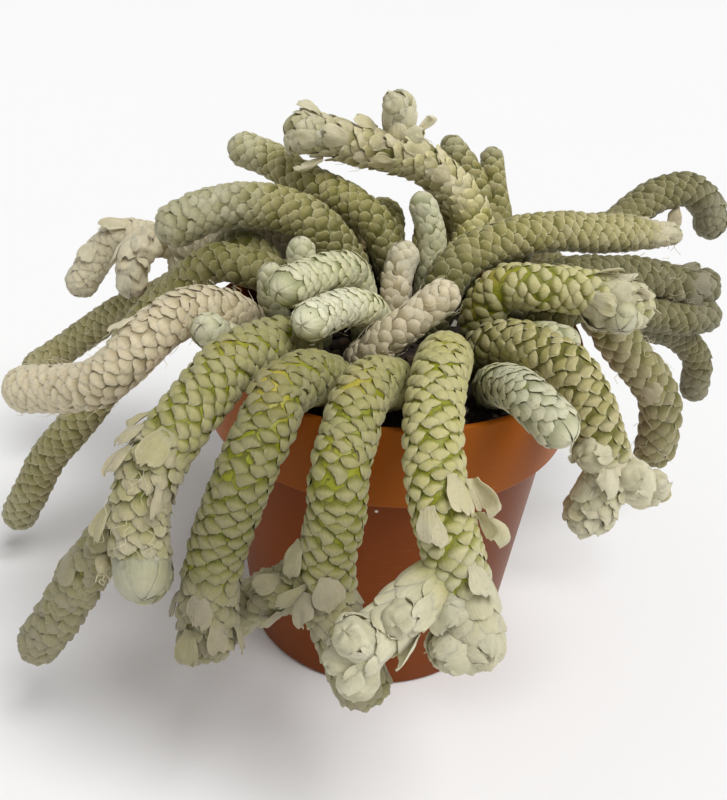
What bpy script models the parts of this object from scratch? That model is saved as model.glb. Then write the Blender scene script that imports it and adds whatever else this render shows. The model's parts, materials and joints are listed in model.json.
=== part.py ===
"""A potted avonia: a small succulent whose finger-thick stems, covered all over in overlapping papery
scales, spill over the rim of a plastic nursery pot. The frame is +Z up, with its origin at the centre
of the pot's underside. Every size below is in millimetres, and MM turns it into metres."""

import math

import bmesh
import bpy
import numpy as np
from mathutils import Vector

MM = 0.001
NAME = "potted_avonia"

# The pot: a tapered body under a tall collar
POT_HEIGHT = 61.1
RIM_RADIUS = 32.5
COLLAR_HEIGHT = 15.0
COLLAR_FOOT_RADIUS = 31.5
NECK_RADIUS = 28.9
BASE_RADIUS = 23.5
WALL = 1.1
BASE_THICKNESS = 1.6
LIP_ROUND = 0.5
POT_SIDES = 44
DRAIN_HOLES = 6
DRAIN_CIRCLE = 15.0
DRAIN_RADIUS = 3.0
DRAIN_SIDES = 12
CUT_PAST = 2.0

# The soil, and the holes that the stems stand in
SOIL_TOP = 57.0
SOIL_FLAT_RADIUS = 27.0
SOIL_DROP = 0.8
SOIL_SIDES = 36
SEAT = 0.3
ROOT_END = 52.5
ROOT_RADIUS = 2.2
HOLE_SIDES = 8
ROOT_REACH = 24.2
ROOT_STAND = 1.5

# The scales, which stand in staggered rows round a stem, each one raised to a crest. SWELL is how fast a
# stem grows thicker above the soil. A tip's rows are (distance from the very end, radius), both in shares
# of the stem's radius.
SCALE_WIDTH = 5.0
FEWEST_ROUND = 5
ROW_SPACING = 3.8
VALLEY_SHARE = 0.84
CREST_SHIFT = 0.35
FORK_SHARE = 0.75
SWELL = 0.45
LAST_ROW_BACK = 0.25
TIP_ROWS = ((1.0, 1.0), (0.5, 0.87), (0.1, 0.45))

# How the stems are bent clear of each other, the rim, the soil and the floor
STEP = 2.0
GAP = 0.45
FLOOR_GAP = 0.6
LIP_IN = 0.75
LIP_DOWN = 0.8
LIP_REACH = 0.9
BEND_ROUNDS = 400
EASED_ROUNDS = 240
EASE = 0.99
PUSH_SHARE = 0.3
LONGEST_PUSH = 0.35
LIST_ROUNDS = 20
LIST_REACH = 8.0
UPRIGHT = SOIL_TOP + ROOT_STAND - ROOT_END

# Each stem: its girth, the points that its centre-line runs through from the soil to the tip, and the
# lobes that fork from it, each with a girth and points of its own
STEMS = {
    "stem_front_1": (9.2, (
        (9, -11, 57), (8, -16, 63), (6, -25, 67), (5, -34, 67), (5, -41, 65), (6, -47, 61), (8, -50, 56),
        (10, -52, 51), (13, -55, 42)), (
        (8.0, ((9, -51, 52), (3, -56, 48), (-2, -60, 45))),)),
    "stem_front_2": (9.0, (
        (2, -14, 57), (0, -20, 62), (-3, -27, 66), (-5, -34, 67), (-6, -40, 65), (-7, -45, 62),
        (-7, -47, 56), (-8, -48, 49), (-7, -49, 42), (-4, -51, 35), (-2, -52, 30)), (
        (7.4, ((-8, -48, 48), (-13, -47, 43), (-19, -43, 36), (-22, -41, 31))),)),
    "stem_front_3": (9.2, (
        (-9, -15, 57), (-11, -20, 62), (-14, -27, 66), (-17, -34, 67), (-18, -39, 65), (-20, -43, 61),
        (-22, -45, 55), (-24, -46, 48), (-25, -48, 40), (-25, -49, 35)), ()),
    "stem_front_4": (9.4, (
        (-15, -11, 57), (-17, -16, 63), (-21, -24, 66), (-24, -30, 67), (-27, -36, 65), (-30, -40, 62),
        (-33, -43, 57), (-34, -45, 50), (-33, -47, 43)), (
        (7.8, ((-33, -43, 56), (-39, -41, 46), (-44, -40, 38), (-49, -38, 28), (-54, -37, 19))),)),
    "stem_left_1": (8.8, (
        (-20, -4, 57), (-25, -8, 63), (-31, -12, 66), (-36, -16, 65), (-41, -19, 61), (-46, -19, 57),
        (-52, -16, 54), (-60, -12, 51)), ()),
    "stem_left_2": (7.8, (
        (-14, 9, 57), (-19, 10, 63), (-26, 11, 65), (-32, 12, 65), (-38, 12, 60), (-44, 11, 54),
        (-49, 9, 47), (-53, 7, 40), (-58, 6, 33), (-64, 6, 25), (-68, 6, 17), (-71, 6, 11)), ()),
    "stem_left_3": (7.4, (
        (-20, 13, 57), (-24, 16, 63), (-29, 20, 65), (-34, 26, 60), (-41, 32, 53), (-48, 36, 47),
        (-55, 40, 42), (-63, 42, 35), (-70, 42, 29), (-76, 40, 25)), ()),
    "stem_left_4": (7.8, (
        (-14, 18, 57), (-18, 22, 63), (-23, 26, 66), (-30, 31, 63), (-39, 37, 57), (-48, 42, 55),
        (-56, 44, 55), (-61, 44, 51), (-65, 42, 45)), (
        (7.0, ((-44, 40, 56), (-50, 38, 53), (-51, 36, 49))),)),
    "stem_left_5": (9.0, (
        (-6, 13, 57), (-7, 14, 63), (-11, 15, 69), (-16, 17, 72), (-21, 18, 73), (-26, 18, 73),
        (-31, 18, 72), (-35, 17, 71), (-39, 16, 69)), ()),
    "stem_left_6": (7.6, (
        (0, 16, 57), (-1, 18, 64), (-4, 21, 69), (-9, 25, 71), (-14, 28, 72), (-19, 32, 73),
        (-25, 36, 75), (-30, 38, 76)), ()),
    "stem_top_1": (8.2, (
        (9, 19, 57), (12, 23, 64), (14, 26, 69), (12, 28, 73), (9, 29, 76), (4, 29, 80), (-2, 28, 82),
        (-8, 28, 83), (-13, 28, 84), (-18, 28, 85)), (
        (6.4, ((0, 28, 81), (-1, 29, 86), (-1, 30, 90))),)),
    "stem_top_2": (7.6, (
        (18, 17, 57), (20, 22, 63), (22, 28, 66), (22, 34, 65), (22, 40, 61), (22, 45, 54), (21, 48, 46),
        (20, 50, 37)), (
        (5.6, ((20, 31, 66), (17, 35, 70), (14, 39, 75), (10, 42, 79))),
        (5.2, ((21, 32, 66), (19, 37, 72), (18, 43, 77))),
        (7.0, ((22, 35, 65), (28, 40, 61), (33, 44, 54), (37, 47, 44), (39, 49, 33))))),
    "stem_right_1": (8.2, (
        (8, 2, 57), (8, 3, 63), (9, 5, 67), (11, 8, 69), (15, 11, 71), (22, 15, 72), (30, 20, 71),
        (37, 24, 69), (43, 28, 68), (49, 31, 67), (54, 34, 66)), (
        (7.6, ((30, 20, 71), (36, 27, 69), (42, 33, 68), (46, 37, 70), (50, 40, 72), (54, 42, 73),
               (58, 43, 73), (62, 43, 70), (63, 42, 67))),)),
    "stem_right_2": (8.2, (
        (20, 7, 57), (24, 10, 63), (29, 13, 66), (34, 17, 66), (39, 20, 65), (44, 23, 64), (50, 26, 62),
        (55, 28, 60), (60, 30, 59)), (
        (7.2, ((32, 15, 65), (37, 15, 61), (43, 17, 58), (49, 21, 56), (56, 24, 54), (61, 26, 54))),
        (6.6, ((43, 18, 58), (50, 24, 52), (57, 29, 48), (63, 31, 42), (64, 31, 35))))),
    "stem_right_3": (8.4, (
        (14, -1, 57), (14, -2, 65), (17, -2, 70), (22, -3, 71), (27, -3, 71), (32, -4, 71),
        (38, -5, 70)), ()),
    "stem_right_4": (8.2, (
        (22, 1, 57), (26, 3, 63), (32, 5, 66), (37, 6, 61), (42, 7, 55), (47, 7, 50), (50, 7, 45),
        (51, 7, 39), (51, 7, 35)), ()),
    "stem_right_5": (8.0, (
        (13, -7, 57), (14, -9, 63), (18, -13, 66), (22, -18, 67), (26, -22, 67), (29, -26, 64),
        (31, -29, 60), (33, -30, 55), (32, -31, 50), (31, -31, 47)), (
        (7.0, ((32, -30, 56), (37, -28, 52), (40, -26, 49))),)),
    "stem_right_6": (7.8, (
        (14, -15, 57), (15, -21, 63), (17, -27, 66), (19, -32, 67), (22, -36, 66)), ()),
    "stem_back_1": (8.6, (
        (5, 23, 57), (6, 28, 63), (7, 33, 66), (8, 40, 64), (10, 46, 57), (11, 49, 47), (10, 51, 36),
        (8, 54, 26), (4, 59, 18)), ()),
    "stem_back_2": (8.4, (
        (-2, 22, 57), (-3, 27, 64), (-3, 33, 66), (-4, 41, 63), (-5, 47, 56), (-5, 50, 47),
        (-7, 53, 38)), (
        (7.2, ((-5, 49, 48), (1, 54, 42), (4, 57, 37))),)),
    "stem_back_3": (8.6, (
        (-8, 20, 57), (-10, 25, 63), (-13, 31, 66), (-17, 38, 64), (-22, 44, 57), (-25, 48, 47),
        (-27, 50, 36), (-28, 53, 26)), ()),
    "shoot_1": (7.4, (
        (-5, 2, 57), (-6, 4, 64), (-8, 3, 69), (-11, -1, 71), (-14, -6, 72), (-17, -12, 73)), ()),
    "shoot_2": (7.0, ((0, -5, 57), (-3, -4, 64), (-5, -8, 67), (-8, -13, 69), (-12, -22, 71)), ()),
    "shoot_3": (6.6, ((-6, -10, 57), (-4, -12, 61), (-1, -12, 65), (3, -11, 68), (7, -9, 71)), ()),
    "shoot_4": (6.2, ((2, 6, 57), (1, 7, 63), (1, 9, 66), (2, 11, 69)), ()),
    "shoot_5": (5.8, ((6, 12, 57), (6, 14, 65), (6, 16, 71), (4, 18, 76)), ()),
    "shoot_6": (5.6, ((19, -5, 57), (19, -6, 62), (22, -8, 65), (26, -9, 65)), ()),
    "shoot_7": (5.6, ((-13, 3, 57), (-16, 5, 66), (-17, 6, 72)), ()),
    "shoot_8": (5.0, ((-20, 3, 57), (-22, 3, 63), (-22, 4, 68)), ()),
    "shoot_9": (6.4, ((-22, -10, 57), (-24, -12, 61), (-28, -16, 65), (-29, -18, 67)), ()),
}

# Finish: base colour, roughness
POT_FINISH = ("pot_plastic", (0.235, 0.075, 0.034), 0.45)
SOIL_FINISH = ("soil", (0.030, 0.020, 0.014), 0.95)
YELLOW_GREEN = ("scales_yellow_green", (0.50, 0.53, 0.27), 0.75)
GREY_GREEN = ("scales_grey_green", (0.32, 0.37, 0.23), 0.78)
MINT = ("scales_mint", (0.58, 0.66, 0.50), 0.80)
BEIGE = ("scales_beige", (0.46, 0.41, 0.31), 0.80)
STEM_FINISH = {
    "stem_front_1": YELLOW_GREEN, "stem_front_2": YELLOW_GREEN, "stem_front_3": YELLOW_GREEN,
    "stem_front_4": YELLOW_GREEN, "stem_left_1": BEIGE, "stem_left_4": BEIGE, "stem_right_3": YELLOW_GREEN,
    "stem_right_6": MINT, "shoot_1": MINT, "shoot_2": MINT, "shoot_3": BEIGE, "shoot_4": BEIGE,
    "shoot_5": MINT, "shoot_6": MINT, "shoot_7": MINT, "shoot_8": MINT, "shoot_9": MINT,
}


# Scene and materials

def clear_scene():
    for obj in list(bpy.data.objects):
        bpy.data.objects.remove(obj, do_unlink=True)


def new_collection(name):
    collection = bpy.data.collections.new(name)
    bpy.context.scene.collection.children.link(collection)
    return collection


def material(finish):
    name, colour, roughness = finish
    made = bpy.data.materials.get(name)
    if made is None:
        made = bpy.data.materials.new(name)
        made.use_nodes = True
        shader = made.node_tree.nodes["Principled BSDF"]
        shader.inputs["Base Color"].default_value = (*colour, 1.0)
        shader.inputs["Roughness"].default_value = roughness
        shader.inputs["Metallic"].default_value = 0.0
    return made


def new_object(name, mesh, collection, finish=None):
    obj = bpy.data.objects.new(name, mesh)
    collection.objects.link(obj)
    if finish:
        mesh.materials.append(material(finish))
    return obj


# Turned pieces

def turned(name, outline, sides, collection, finish):
    """A solid turned round Z from (radius, height) points that end down its outer side."""
    mesh = bpy.data.meshes.new(name)
    points = [(r * MM, 0.0, z * MM) for r, z in outline]
    mesh.from_pydata(points, [(i, i + 1) for i in range(len(points) - 1)], [])
    obj = new_object(name, mesh, collection, finish)
    screw = obj.modifiers.new("turn", "SCREW")
    screw.axis = "Z"
    screw.steps = sides
    screw.render_steps = sides
    screw.use_merge_vertices = True
    screw.merge_threshold = 0.00001
    return obj


def upright_cutter(name, place, radius, bottom, top, sides, collection):
    """A closed prism that cuts a round hole."""
    mesh = bpy.data.meshes.new(name)
    built = bmesh.new()
    bmesh.ops.create_cone(built, cap_ends=True, segments=sides, radius1=radius * MM,
                          radius2=radius * MM, depth=(top - bottom) * MM)
    built.to_mesh(mesh)
    built.free()
    obj = new_object(name, mesh, collection)
    obj.location = (place[0] * MM, place[1] * MM, (top + bottom) / 2 * MM)
    obj.hide_render = True
    obj.display_type = "WIRE"
    return obj


def cut(obj, cutters):
    boolean = obj.modifiers.new("holes", "BOOLEAN")
    boolean.operation = "DIFFERENCE"
    boolean.operand_type = "COLLECTION"
    boolean.collection = cutters


def inner_foot():
    """The inside radius where the pot's wall meets its base."""
    slope = (NECK_RADIUS - BASE_RADIUS) / (POT_HEIGHT - COLLAR_HEIGHT)
    return BASE_RADIUS - WALL + slope * BASE_THICKNESS


def pot(collection):
    ledge = POT_HEIGHT - COLLAR_HEIGHT
    outline = (
        (0.0, BASE_THICKNESS),
        (inner_foot(), BASE_THICKNESS),
        (NECK_RADIUS - WALL, ledge + WALL / 2),
        (NECK_RADIUS - WALL / 2, ledge + WALL),
        (COLLAR_FOOT_RADIUS - WALL, ledge + WALL),
        (RIM_RADIUS - WALL, POT_HEIGHT - LIP_ROUND),
        (RIM_RADIUS - WALL + LIP_ROUND / 2, POT_HEIGHT),
        (RIM_RADIUS - LIP_ROUND / 2, POT_HEIGHT),
        (RIM_RADIUS, POT_HEIGHT - LIP_ROUND),
        (COLLAR_FOOT_RADIUS, ledge + LIP_ROUND),
        (COLLAR_FOOT_RADIUS - LIP_ROUND, ledge),
        (NECK_RADIUS, ledge),
        (BASE_RADIUS, LIP_ROUND),
        (BASE_RADIUS - LIP_ROUND, 0.0),
        (0.0, 0.0),
    )
    obj = turned("pot", outline, POT_SIDES, collection, POT_FINISH)
    cutters = new_collection("drain_hole_cutters")
    for i in range(DRAIN_HOLES):
        turn = 2 * math.pi * i / DRAIN_HOLES
        place = (DRAIN_CIRCLE * math.cos(turn), DRAIN_CIRCLE * math.sin(turn))
        upright_cutter(f"drain_{i + 1}", place, DRAIN_RADIUS, -CUT_PAST, BASE_THICKNESS + CUT_PAST,
                       DRAIN_SIDES, cutters)
    cut(obj, cutters)


def soil(collection, roots):
    ledge = POT_HEIGHT - COLLAR_HEIGHT + WALL
    edge = wall_radius(SOIL_TOP - SOIL_DROP) - WALL - SEAT
    outline = (
        (0.0, SOIL_TOP),
        (SOIL_FLAT_RADIUS, SOIL_TOP),
        (edge, SOIL_TOP - SOIL_DROP),
        (COLLAR_FOOT_RADIUS - WALL - SEAT, ledge + SEAT),
        (NECK_RADIUS - WALL / 2 - SEAT, ledge + SEAT),
        (NECK_RADIUS - WALL - SEAT, ledge - WALL / 2),
        (inner_foot() - SEAT, BASE_THICKNESS + SEAT),
        (0.0, BASE_THICKNESS + SEAT),
    )
    obj = turned("soil", outline, SOIL_SIDES, collection, SOIL_FINISH)
    cutters = new_collection("root_hole_cutters")
    for name, root in roots.items():
        upright_cutter("hole_" + name, root, hole_radius(), ROOT_END - SEAT, SOIL_TOP + CUT_PAST,
                       HOLE_SIDES, cutters)
    cut(obj, cutters)


def hole_radius():
    """The corner radius of a hole whose flats stay clear of the root."""
    return (ROOT_RADIUS + SEAT) / math.cos(math.pi / HOLE_SIDES)


# Centre-lines

def smooth_line(points, step):
    """Places about a step apart along a smooth curve through these points."""
    p = np.array(points, float)
    p = np.vstack((2 * p[0] - p[1], p, 2 * p[-1] - p[-2]))
    t = np.linspace(0, 1, 17)[:-1, None]
    parts = []
    for a, b, c, d in zip(p, p[1:], p[2:], p[3:]):
        bend = (2 * a - 5 * b + 4 * c - d) * t ** 2 + (3 * b - a - 3 * c + d) * t ** 3
        parts.append(0.5 * (2 * b + (c - a) * t + bend))
    fine = np.vstack(parts + [p[-2][None]])
    lengths = np.linalg.norm(np.diff(fine, axis=0), axis=1)
    along = np.concatenate(([0.0], np.cumsum(lengths)))
    at = np.linspace(0, along[-1], max(3, int(round(along[-1] / step)) + 1))
    return np.stack([np.interp(at, along, fine[:, k]) for k in range(3)], 1)


def centre_lines():
    """(stem name, girth, line, whether it has a root) for each stem and each of its lobes."""
    rows = []
    for name, (girth, points, lobes) in STEMS.items():
        x, y, _ = points[0]
        upright = ((x, y, ROOT_END), (x, y, SOIL_TOP + ROOT_STAND))
        rows.append((name, girth, smooth_line(upright + points[1:], STEP), True))
        rows += [(name, lobe_girth, smooth_line(lobe, STEP), False) for lobe_girth, lobe in lobes]
    return rows


def reach_at(along, girth, rooted):
    """The radius at a distance along a stem. A rooted one starts slim and swells above the soil."""
    if not rooted:
        return np.full_like(along, girth / 2)
    return np.minimum(girth / 2, ROOT_RADIUS + SWELL * np.clip(along - UPRIGHT, 0, None))


def wall_radius(height):
    """The pot's outside radius at a height."""
    ledge = POT_HEIGHT - COLLAR_HEIGHT
    return np.interp(height, (0.0, ledge, ledge + 0.1, POT_HEIGHT),
                     (BASE_RADIUS, NECK_RADIUS, COLLAR_FOOT_RADIUS, RIM_RADIUS))


def bend_clear(rows):
    """The lines, bent just enough that no stem meets another, the rim, the pot's wall, the soil or the
    floor. Each round pushes near places apart and spreads the moves along their lines."""
    names = list(STEMS)
    owner = np.concatenate([[names.index(row[0])] * len(row[2]) for row in rows])
    line_of = np.concatenate([[i] * len(row[2]) for i, row in enumerate(rows)])
    home = np.vstack([row[2] for row in rows])
    along = [np.arange(len(row[2])) * STEP for row in rows]
    reach = np.concatenate([reach_at(at, row[1], row[3]) for at, row in zip(along, rows)])
    buried = np.concatenate([row[3] & (at <= UPRIGHT + 0.5) for at, row in zip(along, rows)])
    room = np.where(buried, hole_radius(), reach)
    index = np.arange(len(home))
    first = np.flatnonzero(np.diff(line_of, prepend=-1))
    last = np.append(first[1:] - 1, len(home) - 1)
    before = index - 1
    after = index + 1
    before[first] = first
    after[last] = last
    one, two = np.triu_indices(len(home), 1)
    strangers = owner[one] != owner[two]
    one = one[strangers]
    two = two[strangers]
    wanted = room[one] + room[two] + GAP
    place = home.copy()
    for turn in range(BEND_ROUNDS):
        if turn % LIST_ROUNDS == 0:
            close = np.linalg.norm(place[one] - place[two], axis=1) < wanted + LIST_REACH
            a, b, want = one[close], two[close], wanted[close]
        away = place[a] - place[b]
        distance = np.linalg.norm(away, axis=1) + 1e-9
        force = away * (np.clip(want - distance, 0, None) / distance)[:, None] * PUSH_SHARE
        push = np.stack([np.bincount(a, force[:, k], len(home)) - np.bincount(b, force[:, k], len(home))
                         for k in range(3)], 1)
        push *= np.minimum(1, LONGEST_PUSH / (np.linalg.norm(push, axis=1)[:, None] + 1e-9))
        move = place + push - home
        ease = EASE if turn < EASED_ROUNDS else 1.0
        place = home + ease * (0.5 * move + 0.25 * (move[before] + move[after]))
        keep_off_pot(place, reach, buried)
        settle_roots(place, home, line_of, buried)
    return [place[line_of == i] for i in range(len(rows))]


def keep_off_pot(place, reach, buried):
    """Moves places off the rim, out of the wall, up from the soil and up from the floor."""
    rim_radius = RIM_RADIUS - LIP_IN
    rim_height = POT_HEIGHT - LIP_DOWN
    from_axis = np.hypot(place[:, 0], place[:, 1]) + 1e-9
    out = place[:, :2] / from_axis[:, None]
    over = np.stack([from_axis - rim_radius, place[:, 2] - rim_height], 1)
    distance = np.hypot(over[:, 0], over[:, 1]) + 1e-9
    lack = np.clip(reach + LIP_REACH + GAP - distance, 0, None) * ~buried
    place[:, :2] += out * (over[:, 0] / distance * lack)[:, None]
    place[:, 2] += over[:, 1] / distance * lack
    outside = (from_axis > rim_radius) & (place[:, 2] < rim_height)
    lack = np.clip(wall_radius(place[:, 2]) + reach + GAP - from_axis, 0, None) * outside
    place[:, :2] += out * lack[:, None]
    lowest = np.where(from_axis < rim_radius, SOIL_TOP + reach + GAP, reach + FLOOR_GAP)
    place[:, 2] = np.where(buried, place[:, 2], np.maximum(place[:, 2], lowest))


def settle_roots(place, home, line_of, buried):
    """Keeps each root upright in its hole, within the soil's flat top."""
    for i in np.unique(line_of[buried]):
        root = (line_of == i) & buried
        centre = place[root, :2].mean(0)
        centre *= min(1, ROOT_REACH / np.hypot(*centre))
        place[root, :2] = centre
        place[root, 2] = home[root, 2]


# Stems

def frames_along(line):
    """Two unit vectors square to the line at each place, carried along it without twist."""
    tangent = np.gradient(line, axis=0)
    tangent /= np.linalg.norm(tangent, axis=1)[:, None]
    side = Vector((0.0, 1.0, 0.0)) if abs(tangent[0][1]) < 0.9 else Vector((1.0, 0.0, 0.0))
    sides = []
    for along in map(Vector, tangent):
        side = (side - along * side.dot(along)).normalized()
        sides.append(side)
    sides = np.array(sides)
    return tangent, sides, np.cross(tangent, sides)


def rows_along(line, girth, rooted):
    """(distance, radius, whether it is lifted) of each row, from the root or the fork to the tip."""
    length = np.linalg.norm(np.diff(line, axis=0), axis=1).sum()
    start = UPRIGHT if rooted else 0.0
    end = length - LAST_ROW_BACK * girth
    count = max(2, int(round((end - start) / ROW_SPACING)))
    rows = [(0.0, ROOT_RADIUS, False)] if rooted else []
    for i in range(count + 1):
        at = start + (end - start) * i / count
        reach = float(reach_at(np.array(at), girth, rooted))
        if i == 0:
            reach *= 1.0 if rooted else FORK_SHARE
        rows.append((at, reach, i > 0))
    tip = length + girth / 2
    rows += [(tip - back * girth / 2, share * girth / 2, True) for back, share in TIP_ROWS]
    return rows, tip


def scaled_stem(name, line, girth, rooted):
    """A bmesh of a stem in a net of lozenges, each raised to a crest near its outer end."""
    rows, tip = rows_along(line, girth, rooted)
    steps = np.linalg.norm(np.diff(line, axis=0), axis=1)
    along = np.concatenate(([0.0], np.cumsum(steps)))
    beyond = line[-1] + (line[-1] - line[-2]) / steps[-1] * girth / 2
    line = np.vstack((line, beyond))
    along = np.append(along, along[-1] + girth / 2)
    tangent, side, other = frames_along(line)

    def point(at, radius, turn):
        centre, across, up = (
            np.array([np.interp(at, along, field[:, k]) for k in range(3)])
            for field in (line, side, other))
        across /= np.linalg.norm(across)
        up /= np.linalg.norm(up)
        return (centre + radius * (math.cos(turn) * across + math.sin(turn) * up)) * MM

    scales = max(FEWEST_ROUND, round(math.pi * girth / SCALE_WIDTH))
    sector = 2 * math.pi / scales
    built = bmesh.new()
    rings = []
    for j, (at, radius, lifted) in enumerate(rows):
        valley = radius * VALLEY_SHARE if lifted else radius
        rings.append([built.verts.new(point(at, valley, (i + 0.5 * (j % 2)) * sector))
                      for i in range(scales)])
    for j, (at, radius, lifted) in enumerate(rows):
        for i in range(scales):
            left = rings[j][i]
            right = rings[j][(i + 1) % scales]
            middle = (i + j % 2) % scales
            lower = rings[j - 1][middle] if j > 0 else None
            upper = rings[j + 1][middle] if j + 1 < len(rows) else None
            if lower is None:
                built.faces.new((left, right, upper))
            elif upper is None:
                built.faces.new((lower, right, left))
            elif lifted:
                crest_at = at + CREST_SHIFT * (rows[j + 1][0] - at)
                crest = built.verts.new(point(crest_at, radius, (i + 0.5 * (j % 2) + 0.5) * sector))
                for a, b in ((lower, right), (right, upper), (upper, left), (left, lower)):
                    built.faces.new((a, b, crest))
            else:
                built.faces.new((lower, right, left))
                built.faces.new((left, right, upper))
    foot = built.verts.new(point(0.0, 0.0, 0.0))
    top = built.verts.new(point(tip, 0.0, 0.0))
    for i in range(scales):
        j = (i + 1) % scales
        built.faces.new((rings[0][j], rings[0][i], foot))
        built.faces.new((rings[-1][i], rings[-1][j], top))
    bmesh.ops.recalc_face_normals(built, faces=built.faces)
    mesh = bpy.data.meshes.new(name)
    built.to_mesh(mesh)
    built.free()
    return mesh


def join_lobes(obj, lobes):
    """Joins a stem and its lobes into one body."""
    together = new_collection("lobes_of_" + obj.name)
    for i, mesh in enumerate(lobes):
        new_object(f"{obj.name}_lobe_{i + 1}", mesh, together)
    boolean = obj.modifiers.new("lobes", "BOOLEAN")
    boolean.operation = "UNION"
    boolean.operand_type = "COLLECTION"
    boolean.collection = together
    boolean.solver = "MANIFOLD"
    graph = bpy.context.evaluated_depsgraph_get()
    joined = bpy.data.meshes.new_from_object(obj.evaluated_get(graph))
    obj.modifiers.clear()
    obj.data = joined
    for lobe in list(together.objects):
        bpy.data.objects.remove(lobe, do_unlink=True)
    bpy.data.collections.remove(together)


def stems(collection):
    """Makes every stem, and returns where each one's root stands."""
    rows = centre_lines()
    lines = bend_clear(rows)
    meshes = {}
    roots = {}
    for (name, girth, _, rooted), line in zip(rows, lines):
        meshes.setdefault(name, []).append(scaled_stem(name, line, girth, rooted))
        if rooted:
            roots[name] = line[0][:2]
    for name, (trunk, *lobes) in meshes.items():
        obj = new_object(name, trunk, collection, STEM_FINISH.get(name, GREY_GREEN))
        if lobes:
            join_lobes(obj, lobes)
    return roots


def main():
    clear_scene()
    collection = new_collection(NAME)
    roots = stems(collection)
    pot(collection)
    soil(collection, roots)


main()
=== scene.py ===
"""A potted avonia: a small succulent whose finger-thick stems, covered in overlapping papery scales, spill
over the rim of a plastic nursery pot. Laid out as an add-on and run as a script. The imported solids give
the frame, and each piece here stands for one of them. Sizes in the tables are in millimetres."""

import functools
import itertools
import json
import math
from types import SimpleNamespace

import bpy
import numpy as np
from bpy.props import FloatProperty, FloatVectorProperty, IntProperty, PointerProperty
from bpy.types import Operator, Panel, PropertyGroup
from mathutils import Matrix, Vector

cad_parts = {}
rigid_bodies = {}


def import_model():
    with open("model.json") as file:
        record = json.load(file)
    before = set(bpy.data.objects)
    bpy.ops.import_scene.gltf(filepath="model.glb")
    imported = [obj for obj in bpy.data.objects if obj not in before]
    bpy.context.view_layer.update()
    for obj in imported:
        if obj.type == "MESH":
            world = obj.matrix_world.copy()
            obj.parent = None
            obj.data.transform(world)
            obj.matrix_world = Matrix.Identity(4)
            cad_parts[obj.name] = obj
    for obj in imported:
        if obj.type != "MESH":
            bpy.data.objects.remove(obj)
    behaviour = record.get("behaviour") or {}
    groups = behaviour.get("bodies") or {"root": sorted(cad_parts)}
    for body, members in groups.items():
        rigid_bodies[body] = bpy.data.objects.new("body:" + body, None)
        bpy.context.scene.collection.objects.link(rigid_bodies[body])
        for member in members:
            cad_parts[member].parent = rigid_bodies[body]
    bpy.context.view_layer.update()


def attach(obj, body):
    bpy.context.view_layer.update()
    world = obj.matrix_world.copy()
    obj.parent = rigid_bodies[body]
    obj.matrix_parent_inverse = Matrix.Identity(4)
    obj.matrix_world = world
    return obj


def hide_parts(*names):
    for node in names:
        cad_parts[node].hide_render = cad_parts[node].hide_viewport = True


bl_info = {
    "name": "Potted Avonia",
    "version": (1, 0, 0),
    "blender": (4, 5, 0),
    "location": "View3D > Sidebar > Avonia",
    "description": "Grows a potted avonia with papery scales, and sets it on a pale studio floor",
    "category": "Object",
}

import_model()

MM = 0.001
FULL_TURN = 2 * math.pi
TINY = 1e-9

# The pot: a tapered body under a tall collar
POT_HEIGHT = 61.1
RIM_RADIUS = 32.5
COLLAR_HEIGHT = 15.0
COLLAR_FOOT_RADIUS = 31.5
NECK_RADIUS = 28.9
BASE_RADIUS = 23.5
WALL = 1.1
BASE_THICKNESS = 1.6
POT_SIDES = 160
DRAIN_HOLES = 6
DRAIN_CIRCLE = 15.0
DRAIN_RADIUS = 3.0
DRAIN_SIDES = 32
DRAIN_REACH = 2.0

# The soil, and the roots that stand in it
SOIL_TOP = 57.0
SOIL_ROUGHNESS = 0.45
SOIL_SIDES = 120
SOIL_RINGS = 44
SOIL_WAVES = 14
SEAT = 0.3
ROOT_END = 52.5
ROOT_RADIUS = 2.2
HOLE_SIDES = 8
ROOT_REACH = 24.2
ROOT_STAND = 1.5
GRAINS = 620
GRAIN_CORNERS = 12

# How the stems are bent clear of each other, the rim, the soil and the floor, as the solids are
SWELL = 0.45
STEP = 2.0
CURVE_STEPS = 16
GAP = 0.45
FLOOR_GAP = 0.6
LIP_IN = 0.75
LIP_DOWN = 0.8
LIP_REACH = 0.9
BEND_ROUNDS = 400
EASED_ROUNDS = 240
EASE = 0.99
PUSH_SHARE = 0.3
LONGEST_PUSH = 0.35
LIST_ROUNDS = 20
LIST_REACH = 8.0
UPRIGHT = SOIL_TOP + ROOT_STAND - ROOT_END

# The camera stood high in front, rolled a little. Its lengths are in shares of the rim's radius.
CAMERA_PITCH = 31.6
CAMERA_ROLL = 3.59
CAMERA_AWAY = 6.02
CAMERA_AIM = (-0.129, 0.0, 1.415)
CAMERA_LENS = 49.5

# A wide round floor just under the pot, one soft light in metres, and how pale the camera sees the rest
FLOOR_RADIUS = 4000.0
FLOOR_SIDES = 96
FLOOR_DROP = 0.05
LIGHT_PLACE = (0.3, -0.25, 0.75)
LIGHT_AIM = (0.0, 0.0, 0.045)
LIGHT_SPREAD = 36.0
BACKDROP_LIGHT = 0.945

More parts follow.
